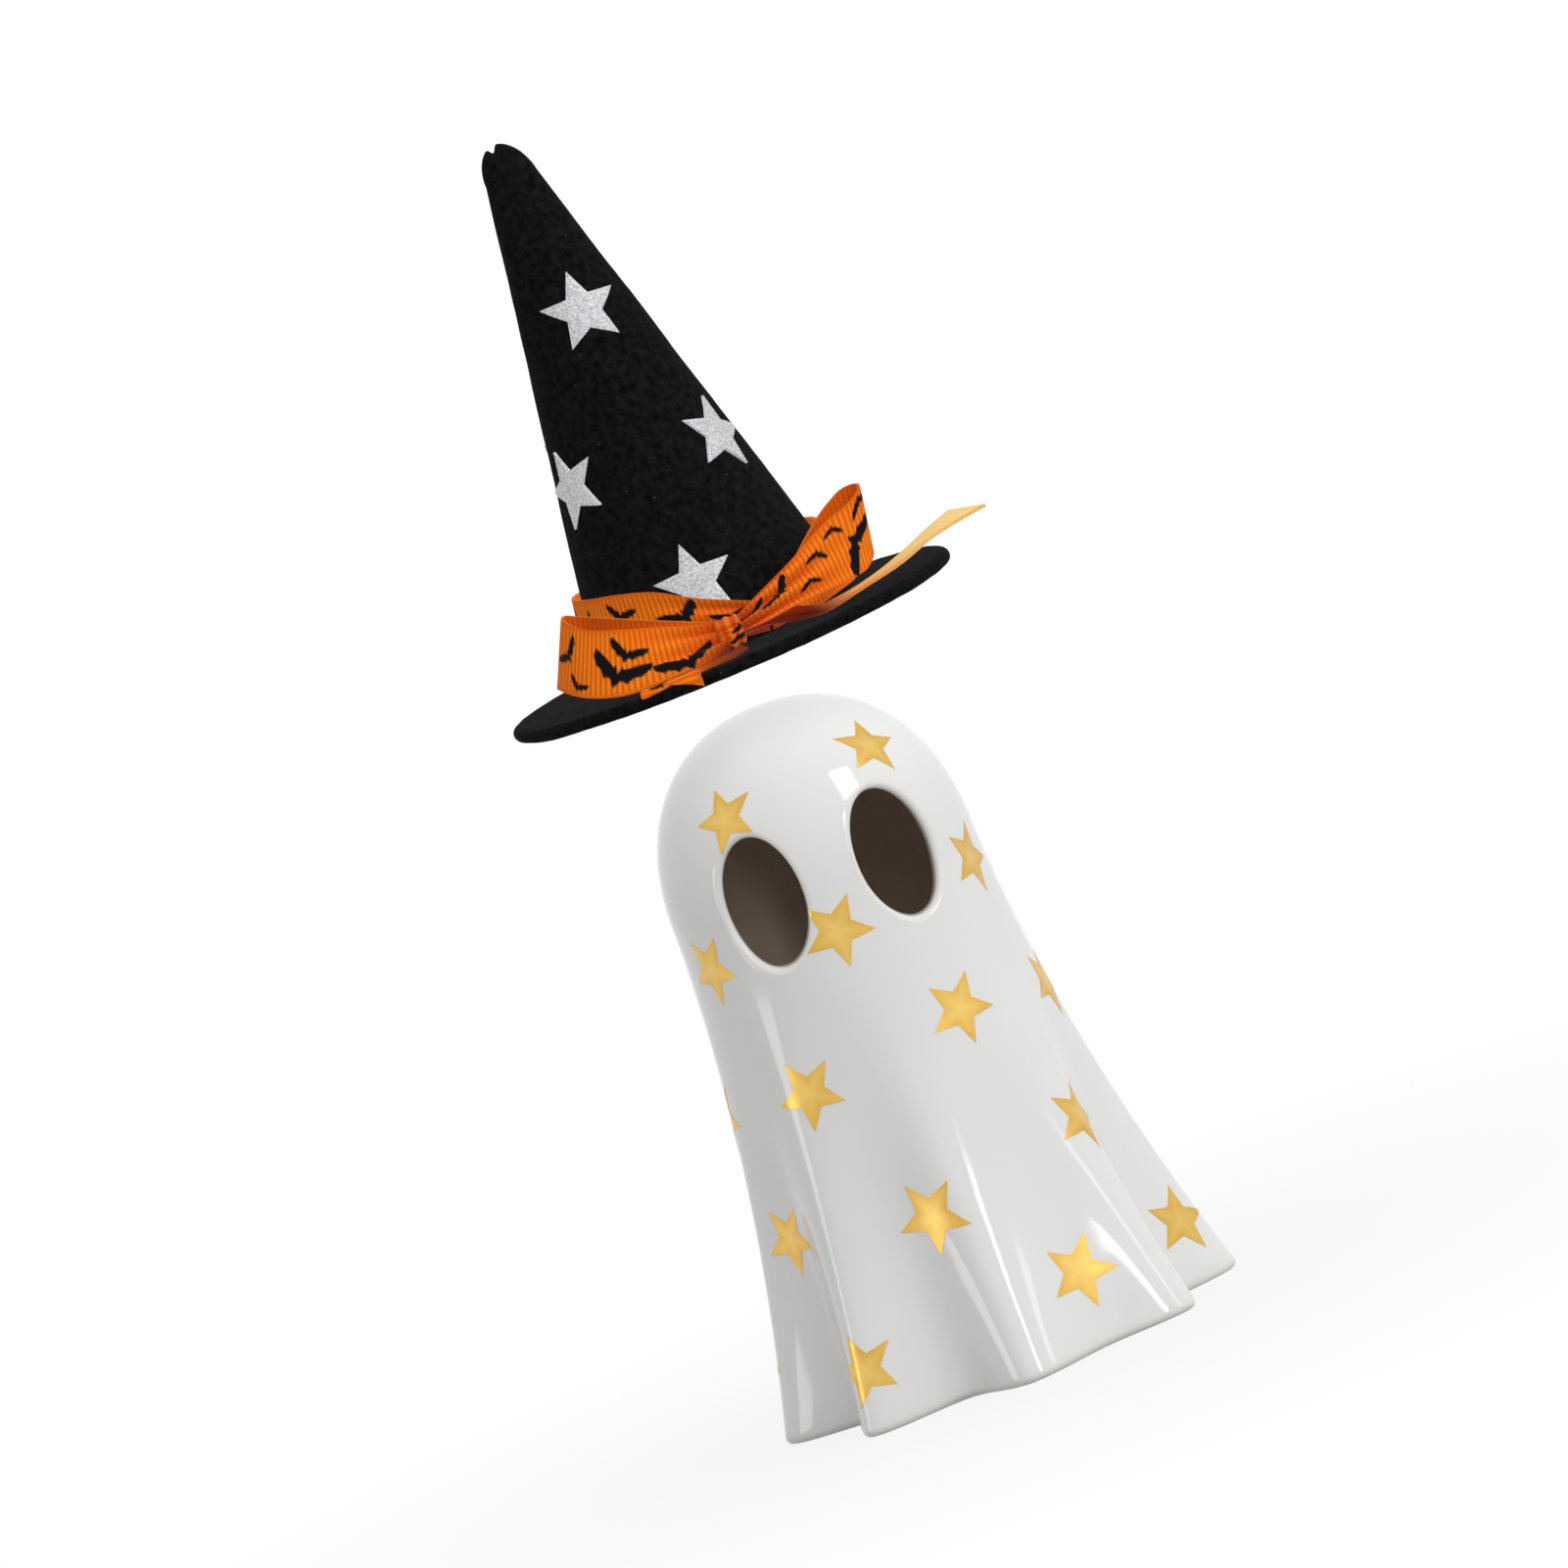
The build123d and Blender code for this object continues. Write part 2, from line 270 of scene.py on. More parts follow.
def coat(tree, shader, colour, height=None, strength=0.0, distance=0.0):
    """Wires a colour into a material's shader and, where a height is given, a bump made of it."""
    tree.links.new(colour, shader.inputs["Base Color"])
    if height is not None:
        bump = put(tree, "ShaderNodeBump", {"Strength": strength, "Distance": distance, "Height": height})
        tree.links.new(bump.outputs["Normal"], shader.inputs["Normal"])


def start_group(name, inputs, output):
    """A node group with named float inputs and one float output, and the sockets to wire inside it."""
    group = bpy.data.node_groups.new(name, "ShaderNodeTree")
    for socket in inputs:
        group.interface.new_socket(socket, in_out="INPUT", socket_type="NodeSocketFloat")
    group.interface.new_socket(output, in_out="OUTPUT", socket_type="NodeSocketFloat")
    return group, put(group, "NodeGroupInput").outputs, put(group, "NodeGroupOutput").inputs[output]


def mottle_group():
    """Cloudy variation in Object space: fractal noise, stretched about its middle by a contrast."""
    group, given, result = start_group("Mottle", ("Scale", "Detail", "Contrast"), "Value")
    place = put(group, "ShaderNodeTexCoord").outputs["Object"]
    sizes = {"Vector": place, "Scale": given["Scale"], "Detail": given["Detail"]}
    off = put_math(group, "SUBTRACT", put(group, "ShaderNodeTexNoise", sizes).outputs["Fac"], 0.5)
    scaled = put_math(group, "MULTIPLY", off, given["Contrast"])
    group.links.new(put_math(group, "ADD", scaled, 0.5, clamp=True), result)
    return group


def speckle_group():
    """Scattered dots in Object space: one of a given size in each Voronoi cell, kept in a share of them."""
    group, given, result = start_group("Speckle", ("Scale", "Size", "Share"), "Mask")
    place = put(group, "ShaderNodeTexCoord").outputs["Object"]
    cells = put(group, "ShaderNodeTexVoronoi", {"Vector": place, "Scale": given["Scale"]}).outputs
    dot = put_math(group, "LESS_THAN", cells["Distance"], given["Size"])
    draw = put(group, "ShaderNodeSeparateColor", {"Color": cells["Color"]}).outputs["Red"]
    kept = put_math(group, "LESS_THAN", draw, given["Share"])
    group.links.new(put_math(group, "MULTIPLY", dot, kept), result)
    return group


MOTTLE = mottle_group()
SPECKLE = speckle_group()


def put_group(tree, group, **inputs):
    """Places a node group in a material with its own values, and gives its output."""
    return put(tree, "ShaderNodeGroup", inputs, node_tree=group).outputs[0]


def white_glaze():
    """Glossy white glaze: faint clouds, a warmer tone where it ran thin over the rims, and a ripple."""
    material, tree, shader = start_material("white_glaze", Roughness=0.08, IOR=1.5)
    clouds = put_group(tree, MOTTLE, Scale=45.0, Detail=3.0, Contrast=1.6)
    white = blend_colours(tree, clouds, (0.765, 0.765, 0.755, 1), (0.80, 0.80, 0.795, 1))
    thin = put_math(tree, "MULTIPLY", read_mark(tree, "thin"), 0.35)
    tone = blend_colours(tree, thin, white, (0.74, 0.715, 0.665, 1))
    ripple = put_group(tree, MOTTLE, Scale=140.0, Detail=1.0, Contrast=1.0)
    coat(tree, shader, tone, ripple, strength=0.25, distance=0.00012)
    return material


def bare_clay():
    """Unglazed clay inside: matt buff with coarse clouds and fine grit, brown in its own shade."""
    material, tree, shader = start_material("bare_clay", Roughness=0.9, IOR=1.4)
    clouds = put_group(tree, MOTTLE, Scale=70.0, Detail=5.0, Contrast=1.5)
    tone = blend_colours(tree, clouds, (0.60, 0.475, 0.375, 1), (0.67, 0.545, 0.435, 1))
    grit = put_group(tree, SPECKLE, Scale=1500.0, Size=0.35, Share=0.5)
    coat(tree, shader, tone, grit, strength=0.3, distance=0.0001)
    return material


ghost_angles = ring_angles(GHOST_COLUMNS, -180)
skirt_levels = np.linspace(HEM_R, WINDOW_LOW, SKIRT_ROWS)
window_levels = np.linspace(WINDOW_LOW, WINDOW_HIGH, WINDOW_ROWS)
dome_start = np.arcsin(((WINDOW_HIGH - SKIRT_H) / DOME_H) ** (DOME_POWER / 2))
dome_turns = np.linspace(dome_start, np.pi / 2, DOME_ROWS)
dome_levels = SKIRT_H + DOME_H * np.sin(dome_turns) ** (2 / DOME_POWER)
ghost_levels = np.concatenate([skirt_levels, window_levels[1:], dome_levels[1:]])
window_rows = len(skirt_levels) - 1 + np.array([0, len(window_levels) - 1])
window_half = round(WINDOW_HALF_ANGLE * GHOST_COLUMNS / 360)


def eye_column(eye):
    """The grid column in the middle of an eye."""
    return round((eye + 180) * GHOST_COLUMNS / 360)


def window_mask():
    """Marks the faces of the wall's grid that the two eye windows take up."""
    mask = np.zeros((len(ghost_levels) - 1, GHOST_COLUMNS), bool)
    for eye in EYES:
        middle = eye_column(eye)
        mask[window_rows[0] : window_rows[1], middle - window_half : middle + window_half] = True
    return mask


def window_border(eye):
    """Angles and heights of the grid points once round an eye's window."""
    left, right = eye_column(eye) - window_half, eye_column(eye) + window_half
    low, high = window_rows
    columns = np.arange(left, right)
    rows = np.arange(low, high)
    across = np.concatenate([columns, right + 0 * rows, columns[::-1] + 1, left + 0 * rows])
    up = np.concatenate([low + 0 * columns, rows, high + 0 * columns, rows[::-1] + 1])
    return ghost_angles[across], ghost_levels[up]


def eye_hole(eye):
    """One eye's rim and wall as two grids, from the window's border in to a rolled lip, through the wall and
    out again inside. A ring is the eye's ellipse, grown by up to the lip's radius and sunk along a quarter
    circle."""
    angle, z = window_border(eye)
    swing = np.sin(np.radians(angle - eye))
    outer_aside = ghost_radius(angle, z) * swing
    inner_z = inner_level(z)
    inner_aside = ghost_radius(angle, inner_z, -WALL) * swing
    around = np.arctan2((z - EYE_Z) / EYE_HALF_H, outer_aside / EYE_HALF_W)

    def ring(off):
        return (EYE_HALF_W + off) * np.cos(around), EYE_Z + (EYE_HALF_H + off) * np.sin(around)

    to_lip = np.linspace(0, 1, EYE_ROWS["rim"])[:, None]
    lip_aside, lip_z = ring(EYE_LIP_R)
    aside = between(outer_aside, lip_aside, to_lip)
    level = between(z, lip_z, to_lip)
    outer = from_eye_axis(eye, aside, on_eye_axis(eye, aside, level, 0), level)
    roll = np.linspace(0, np.pi / 2, EYE_ROWS["lip"])[1:, None]
    aside, level = ring(EYE_LIP_R * (1 - np.sin(roll)))
    depth = on_eye_axis(eye, aside, level, 0) - EYE_LIP_R * (1 - np.cos(roll))
    lip = from_eye_axis(eye, aside, depth, level)
    end_aside = aside[-1] + np.sign(eye) * EYE_CUT_SKEW
    inner_depth = on_eye_axis(eye, end_aside, level[-1], -WALL)
    through = np.linspace(0, 1, EYE_ROWS["cut"])[1:, None]
    cut_aside = between(aside[-1], end_aside, through)
    cut_depth = between(depth[-1], inner_depth, through)
    cut = from_eye_axis(eye, cut_aside, cut_depth, level[-1] + 0 * through)
    to_border = np.linspace(0, 1, EYE_ROWS["back"])[:, None]
    back_aside = between(end_aside, inner_aside, to_border)
    back_level = between(level[-1], inner_z, to_border)
    back = from_eye_axis(eye, back_aside, on_eye_axis(eye, back_aside, back_level, -WALL), back_level)
    lip_thin = between(LIP_THIN, 1, np.sin(2 * roll))
    thin = np.concatenate([LIP_THIN * to_lip**LIP_THIN_POWER, lip_thin, 1 - CUT_THIN * through])
    return [
        patch(np.concatenate([outer, lip, cut]), ring=True, thin=thin),
        patch(back, ring=True, finish=1),
    ]


def hem_ring():
    """The foot of the wall: a quarter circle down to the sole and a smaller one up the inside."""
    turn = np.linspace(0, np.pi / 2, HEM_ROWS)
    low = np.concatenate([HEM_R * (1 - np.sin(turn)), INNER_HEM_R * (1 - np.cos(turn))])
    inset = np.concatenate([HEM_R * (1 - np.cos(turn)), WALL - INNER_HEM_R * (1 - np.sin(turn))])
    return ghost_wall(ghost_angles[None, :], low[:, None], 0, inset[:, None])


def glazed_shell():
    """The whole pot: outer wall, eye holes, hem and inner wall."""
    outer = ghost_wall(ghost_angles[None, :], ghost_levels[:, None])
    thin = np.exp(-ghost_levels[:, None] / HEM_THIN_H)
    inner_levels = inner_level(ghost_levels)[:, None]
    inner_levels[0] = INNER_HEM_R
    inner = ghost_wall(ghost_angles[None, :], inner_levels, -WALL)
    grids = [
        patch(outer, ring=True, skip=window_mask(), thin=thin),
        patch(inner, ring=True, skip=window_mask(), finish=1),
        patch(hem_ring(), ring=True, thin=HEM_THIN),
    ]
    for eye in EYES:
        grids += eye_hole(eye)
    return make_piece("glazed_shell", "ghost", grids, [white_glaze(), bare_clay()])


shell = glazed_shell()
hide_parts("ghost_shell")

# Gold stars: printed transfers laid on the glaze point down and fired in, so they follow every fold.
# One row a star: angle, height as a share of the ghost's, lean of the downward arm to the right, and
# the radius where it isn't STAR_R.
STAR_R = 5.6
STAR_WAIST = 0.45
STAR_LIFT = 0.05
STAR_RINGS = 12
STAR_STEPS = 10
GOLD_STARS = {
    "head": (
        (-33.0, 0.884, -19, 5.2),
        (41.5, 0.904, 11, 5.2),
        (152.0, 0.89, 8, 5.2),
        (-122.0, 0.87, -12, 5.2),
    ),
    "front": (
        (-4.8, 0.686, 0),
        (-34.8, 0.482, -10),
        (25.8, 0.518, 1),
        (-9.2, 0.263, -9, 6.0),
        (25.8, 0.113, 3, 5.8),
        (-41.5, 0.092, -20),
        (49.8, 0.309, 5),
    ),
    "left": ((-61.5, 0.686, 0), (-92.0, 0.468, 4), (-70.5, 0.284, 0), (-96.0, 0.11, 12)),
    "right": ((62.0, 0.70, 6), (83.0, 0.488, 0), (82.5, 0.098, 16), (104.0, 0.30, -6)),
    "back": (
        (108.0, 0.70, -8),
        (154.0, 0.65, 5),
        (-158.0, 0.70, -6),
        (-110.0, 0.67, 10),
        (127.0, 0.47, -12),
        (171.0, 0.49, 7),
        (-138.0, 0.48, 0),
        (146.0, 0.28, 9),
        (-169.0, 0.26, -8),
        (-123.0, 0.29, 4),
        (122.0, 0.11, -14),
        (166.0, 0.095, 6),
        (-150.0, 0.10, -4),
    ),
}
# Near an eye a star is pushed this share of the lip's radius out onto the lip. Each is laid out on stretches
# of wall with this room about it, up and down and to both sides.
NEAR_EYE = 60.0
STAR_ON_LIP = 0.35
TINY = 1e-6
STAR_ROOM = 14.0
STAR_ROOM_ANGLE = 45.0
ROOM_ROWS = 281
ROOM_COLUMNS = 451
ROOM_LOW = 0.1
ROOM_HIGH = GHOST_H - 0.05
WALL_STEP = 0.05


def flat_star(radius, first_arm, rings):
    """A flat five-armed star as a polar grid: its outline, straight from tips to waists, scaled inwards."""
    corner = np.arange(11)
    reach = np.where(corner % 2 == 0, radius, radius * STAR_WAIST)
    turn = np.radians(first_arm + 36 * corner)
    along = np.arange(10 * STAR_STEPS) / STAR_STEPS
    sides = [np.interp(along, corner, reach * wave(turn)) for wave in (np.cos, np.sin)]
    return np.linspace(0, 1, rings)[:, None, None] * np.stack(sides, axis=-1)


def run_length(points):
    """Distance run along a line of points."""
    return np.concatenate([[0], np.cumsum(np.linalg.norm(np.diff(points, axis=0), axis=1))])


def from_middle(run):
    """Distances counted from the middle one."""
    return run - run[len(run) // 2]


def turned_from(angle, middle):
    """How far angles lie from a middle one, the shorter way round."""
    return (angle - middle + 180) % 360 - 180


def clear_of_eyes(angle, z):
    """Pushes points out of the eye holes onto their lips, and gives how deep the rolled lip lies there."""
    sink = np.zeros_like(z)
    for eye in EYES:
        radius = ghost_radius(angle, z)
        aside = radius * np.sin(np.radians(angle - eye))
        near = np.abs(turned_from(angle, eye)) < NEAR_EYE
        share = np.hypot(aside / EYE_HALF_W, (z - EYE_Z) / EYE_HALF_H)
        width = np.hypot(aside, z - EYE_Z) / np.maximum(share, TINY)
        least = 1 + STAR_ON_LIP * EYE_LIP_R / width
        push = np.where(near & (share < least), least / np.maximum(share, TINY), 1.0)
        pushed = np.arcsin(np.clip(aside * push / radius, -1, 1))
        angle = np.where(push > 1, eye + np.degrees(pushed), angle)
        z = np.where(push > 1, EYE_Z + (z - EYE_Z) * push, z)
        off = np.clip((np.maximum(share, least) - 1) * width / EYE_LIP_R, 0, 1)
        sink += np.where(near, EYE_LIP_R * (1 - np.sqrt(1 - (1 - off) ** 2)), 0)
    return angle, z, sink


def lay_on_ghost(flat, angle, level):
    """Wraps flat points round the wall: upright distance runs up the meridian and sideways distance along
    the level curve, so the shape keeps its size over folds and dome. Gives angles and heights."""
    rise = np.clip(level + np.linspace(-STAR_ROOM, STAR_ROOM, ROOM_ROWS), ROOM_LOW, ROOM_HIGH)
    z = np.interp(flat[..., 1], from_middle(run_length(ghost_wall(angle + 0 * rise, rise))), rise)
    sweep = np.linspace(-STAR_ROOM_ANGLE, STAR_ROOM_ANGLE, ROOM_COLUMNS)
    aside = flat[..., 0] * ghost_radius(angle, level) / ghost_radius(angle, z)
    level_run = from_middle(run_length(ghost_wall(angle + sweep, level + 0 * sweep)))
    return angle + np.interp(aside, level_run, sweep), z


def unit(vectors):
    """Vectors brought to a length of one."""
    return vectors / np.linalg.norm(vectors, axis=-1, keepdims=True)


def on_ghost(angle, z, lift):
    """Points that stand off the wall along its normal, which comes from small steps up and round it."""
    up = ghost_wall(angle, z + WALL_STEP) - ghost_wall(angle, z - WALL_STEP)
    sideways = ghost_wall(angle + WALL_STEP, z) - ghost_wall(angle - WALL_STEP, z)
    return ghost_wall(angle, z) + unit(np.cross(sideways, up)) * np.asarray(lift)[..., None]


def thin_tile(face, under, **marks):
    """A closed tile as three grids: its face, which takes the marks, its sides and its underside."""
    sides = np.stack([face[-1], under[-1]])
    return [patch(face, ring=True, **marks), patch(sides, ring=True), patch(under, ring=True)]


def gold_star(angle, share, lean, radius=STAR_R):
    """One transfer as a thin tile: its face stands proud, and its underside lies in the glaze."""
    flat = flat_star(radius, lean - 90, STAR_RINGS)
    angles, z, sink = clear_of_eyes(*lay_on_ghost(flat, angle, share * GHOST_H))
    face = on_ghost(angles, z, STAR_LIFT - sink)
    under = on_ghost(angles, z, -STAR_LIFT - sink)
    # The face's mark runs from one in the star's middle to nought at its tips: a painted highlight.
    return thin_tile(face, under, core=np.linspace(1, 0, STAR_RINGS)[:, None])


def gold_lustre():
    """Fired gold: satin metal with cloudy tone, a painted highlight that brightens each star's middle over a
    darker rim, and fine burnish.
    """
    material, tree, shader = start_material("gold_lustre", Metallic=0.75, Roughness=0.3, IOR=1.5)
    clouds = put_group(tree, MOTTLE, Scale=260.0, Detail=4.0, Contrast=1.8)
    gold = blend_colours(tree, clouds, (0.63, 0.36, 0.05, 1), (0.78, 0.50, 0.115, 1))
    # Painted highlight: each star's middle turns a brighter gold, and its tips stay darker.
    bright = put_math(tree, "MULTIPLY", read_mark(tree, "core"), 0.55)
    coat(tree, shader, blend_colours(tree, bright, gold, (0.88, 0.65, 0.22, 1)))
    fine = put_group(tree, MOTTLE, Scale=1400.0, Detail=3.0, Contrast=1.0)
    span = put(tree, "ShaderNodeMapRange", {"Value": fine, "To Min": 0.24, "To Max": 0.42})
    tree.links.new(span.outputs["Result"], shader.inputs["Roughness"])
    return material


gold = gold_lustre()
for place, rows in GOLD_STARS.items():
    grids = [grid for row in rows for grid in gold_star(*row)]
    stars = make_piece("gold_stars_" + place, "ghost", grids, [gold], FINE_WELD)

# Hat brim: a flat ring stamped from two-millimetre black felt, its cut edge rubbed round.
# The hat hangs lifted off the head, turned and tilted a little, as the picture shows it.
HAT_CLEAR = 8.7
HAT_TURN = -2.5
HAT_TILT = 1.6
FELT_T = 2.0
BRIM_R = 34.2
BRIM_EDGE_R = 0.98
BRIM_COLUMNS = 300
BRIM_ROWS = 22
BRIM_EDGE_ROWS = 13
CROWN_R = 19.9
# Unevenness of the felt: heights of its nap and of its slow waves, and how long both are on the brim.
NAP_H = 0.02
WAVE_H = 0.06
BRIM_NAP = 4.0
BRIM_WAVE = 18.0
BRIM_SEEDS = (3, 4)
# An unevenness is a sum of this many sine waves, whose pitch varies between these factors.
UNEVEN_WAVES = 14
UNEVEN_SPREAD = (0.6, 1.5)
hat_place = (
    Matrix.Translation((0, 0, GHOST_H + HAT_CLEAR))
    @ Matrix.Rotation(np.radians(HAT_TURN), 4, "Z")
    @ Matrix.Rotation(np.radians(-HAT_TILT), 4, "Y")
    @ Matrix.Translation((0, 0, FELT_T))
)
hat_matrix = np.array(hat_place)


def in_place(points):
    """Points of the hat moved from its own frame, on top of a level brim, to where it hangs."""
    return points @ hat_matrix[:3, :3].T + hat_matrix[:3, 3]


def uneven(points, wavelength, seed):
    """Smooth unevenness, about -1 to 1: the sum of sine waves of about one length in random directions."""
    draw = np.random.default_rng(seed)
    waves = unit(draw.normal(size=(UNEVEN_WAVES, 3)))
    waves *= 2 * np.pi / wavelength * draw.uniform(*UNEVEN_SPREAD, (UNEVEN_WAVES, 1))
    phases = draw.uniform(0, 2 * np.pi, UNEVEN_WAVES)
    return np.sin(points @ waves.T + phases).sum(axis=-1) / np.sqrt(UNEVEN_WAVES)


def black_felt():
    """Pressed wool felt: near-black and matt, with matted fibres, a soft sheen and a little pale lint."""
    settings = {"Roughness": 0.95, "IOR": 1.3, "Specular IOR Level": 0.04}
    sheen = {"Sheen Weight": 0.009, "Sheen Roughness": 0.5}
    material, tree, shader = start_material("black_felt", **settings, **sheen)
    clouds = put_group(tree, MOTTLE, Scale=900.0, Detail=6.0, Contrast=2.4)
    wool = blend_colours(tree, clouds, (0.0024, 0.0024, 0.0025, 1), (0.012, 0.012, 0.0124, 1))
    lint = put_group(tree, SPECKLE, Scale=900.0, Size=0.11, Share=0.05)
    dusted = blend_colours(tree, lint, wool, (0.07, 0.07, 0.07, 1))
    fibres = put_group(tree, MOTTLE, Scale=2600.0, Detail=8.0, Contrast=2.0)
    coat(tree, shader, dusted, fibres, strength=0.7, distance=0.00016)
    return material


def brim_ring():
    """The brim's section carried round: straight faces, a half-round outer edge and a square hole."""
    turn = np.linspace(np.pi / 2, -np.pi / 2, BRIM_EDGE_ROWS)
    hole_r = CROWN_R - FELT_T
    edge_r = BRIM_R - BRIM_EDGE_R
    flat = np.linspace(hole_r, edge_r, BRIM_ROWS)
    out = np.concatenate([flat, edge_r + BRIM_EDGE_R * np.cos(turn), flat[::-1], [hole_r]])
    up = np.concatenate([0 * flat, -FELT_T / 2 + FELT_T / 2 * np.sin(turn), 0 * flat - FELT_T, [0]])
    points = round_points(ring_angles(BRIM_COLUMNS)[None, :], out[:, None], up[:, None])
    nap = NAP_H * uneven(points, BRIM_NAP, BRIM_SEEDS[0])
    wave = WAVE_H * uneven(points * [1, 1, 0], BRIM_WAVE, BRIM_SEEDS[1])
    points[..., 2] += np.where(np.isclose(out, hole_r)[:, None], 0, nap + wave)
    return points


felt = black_felt()
brim = make_piece("felt_brim", "hat", [patch(in_place(brim_ring()), ring=True)], [felt])
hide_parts("hat_brim")

# Hat crown: a fan of the same felt rolled into a leaning cone, butted and glued in a seam down the back.
# The rolled tip ends in two small humps. A thin line of glue holds its foot on the brim.
CROWN_TAPER = 0.2175
CROWN_LEAN = 0.041
GLUE_T = 0.25
TIP_FOOT = 73.8
TIP_RISE = 5.3
TIP_POWER = 0.62
TIP_LEAN = 0.5
TIP_NOTCH = -0.45
TIP_NOTCH_DEPTH = 1.1
TIP_NOTCH_W = 0.5
SEAM_ANGLE = -153.5
SEAM_DEPTH = 0.5
SEAM_W = 0.6
CROWN_NAP = 3.6
CROWN_WAVE = 16.0
CROWN_SEEDS = (5, 6)
FOOT_EASE = 4.0
HOLLOW_TOP = 68.0
CROWN_COLUMNS = 200
CROWN_ROWS = 120
TIP_ROWS = 26
HOLLOW_ROWS = 40
crown_angles = ring_angles(CROWN_COLUMNS, -180)[None, :]


def bell(off, width):
    """A bell-shaped bump: one in its middle, and next to nothing a few widths off."""
    return np.exp(-((off / width) ** 2))


def crown_radius(h):
    """Outer radius of the crown at a height above the brim."""
    return CROWN_R - CROWN_TAPER * h


def crown_points(angle, h, out=0.0):
    """Points that stand off the crown's side, whose rings lean to the left as they rise."""
    points = round_points(angle, crown_radius(h) + out, h)
    return points - as_points(CROWN_LEAN * h, 0, 0)


def crown_side():
    """The cone's outside: rings up to the tip, a groove along the seam, and a tip that is a flattened dome
    over the last ring, cut by a notch that leaves two humps."""
    h = np.linspace(GLUE_T, TIP_FOOT, CROWN_ROWS)[:, None]
    from_seam = np.radians(turned_from(crown_angles, SEAM_ANGLE)) * crown_radius(h)
    side = crown_points(crown_angles, h, -SEAM_DEPTH * bell(from_seam, SEAM_W))
    shrink = np.cos(np.linspace(0, np.pi / 2, TIP_ROWS)[1:])[:, None]
    tip_r = crown_radius(TIP_FOOT)
    across = tip_r * shrink * np.sin(np.radians(crown_angles))
    rise = TIP_RISE - TIP_NOTCH_DEPTH * bell(across - TIP_NOTCH, TIP_NOTCH_W)
    dome = (1 - shrink**2) ** TIP_POWER
    tip = round_points(crown_angles, tip_r * shrink, TIP_FOOT + rise * dome)
    tip[..., 0] -= CROWN_LEAN * TIP_FOOT + TIP_LEAN * dome
    points = np.concatenate([side, tip])
    nap = NAP_H * uneven(points, CROWN_NAP, CROWN_SEEDS[0])
    wave = WAVE_H * uneven(points, CROWN_WAVE, CROWN_SEEDS[1])
    ease = np.minimum(np.concatenate([h, 0 * shrink + TIP_FOOT]) / FOOT_EASE, 1)
    return points + round_points(crown_angles, 1, 0) * ((nap + wave) * ease)[..., None]


def felt_crown():
    """The rolled cone with its foot and its hollow."""
    outside = crown_side()
    hollow_h = np.linspace(GLUE_T, HOLLOW_TOP, HOLLOW_ROWS)[:, None]
    hollow = crown_points(crown_angles, hollow_h, -FELT_T)
    top = crown_points(crown_angles, HOLLOW_TOP, -crown_radius(HOLLOW_TOP) + 0 * crown_angles)
    foot = np.stack([outside[0], hollow[0]])
    grids = [outside, foot, hollow, np.concatenate([hollow[-1:], top])]
    return make_piece("felt_crown", "hat", [patch(in_place(g), ring=True) for g in grids], [felt])


crown = felt_crown()
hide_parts("hat_crown")
glue_settings = {"Roughness": 0.5, "IOR": 1.48, "Specular IOR Level": 0.1}
glue, glue_tree, glue_shader = start_material("clear_glue", **glue_settings)
smear = put_group(glue_tree, MOTTLE, Scale=500.0, Detail=3.0, Contrast=1.4)
glue_tone = blend_colours(glue_tree, smear, (0.012, 0.011, 0.010, 1), (0.022, 0.020, 0.017, 1))
coat(glue_tree, glue_shader, glue_tone)
glue_line = frame["nodes"]["glue_line"]
glue_line.data.materials.clear()
glue_line.data.materials.append(glue)

# Silver stars: patches stamped from a thin glitter sheet, glued one arm up on the felt while it lay flat,
# so those at the sides lean. One row a patch: angle, height of its middle above the brim, turn to the left.
SILVER_STAR_R = 6.1
SILVER_STAR_T = 0.5
SILVER_EDGE = 0.12
SILVER_EDGE_POWER = 8
SILVER_SINK = 0.1
SILVER_GRAIN_H = 0.02
SILVER_GRAIN = 1.2
SILVER_SEED = 8
SILVER_RINGS = 14
SILVER_STARS = {
    "front": ((8.4, 52.7, -3), (-55.5, 29.5, 19), (55.5, 28.8, -22), (-2.4, 10.9, 0)),
    "back": ((176.0, 52.0, 4), (-125.0, 33.0, 12), (128.0, 30.0, -10), (-176.0, 24.0, 3)),
}


def silver_star(angle, h, turn):
    """One patch: the flat star wrapped on the cone by arc length, with softened edges and upright sides."""
    flat = flat_star(SILVER_STAR_R, 90 + turn, SILVER_RINGS)
    heights = h + flat[..., 1] / np.hypot(1, CROWN_TAPER)
    angles = angle + np.degrees(flat[..., 0] / crown_radius(heights))
    ring = np.linspace(0, 1, SILVER_RINGS)[:, None]
    dome = SILVER_STAR_T - SILVER_EDGE * ring**SILVER_EDGE_POWER
    grain = SILVER_GRAIN_H * uneven(flat @ np.eye(2, 3), SILVER_GRAIN, SILVER_SEED)
    face = crown_points(angles, heights, dome + grain)
    under = crown_points(angles, heights, -SILVER_SINK)
    return thin_tile(in_place(face), in_place(under))


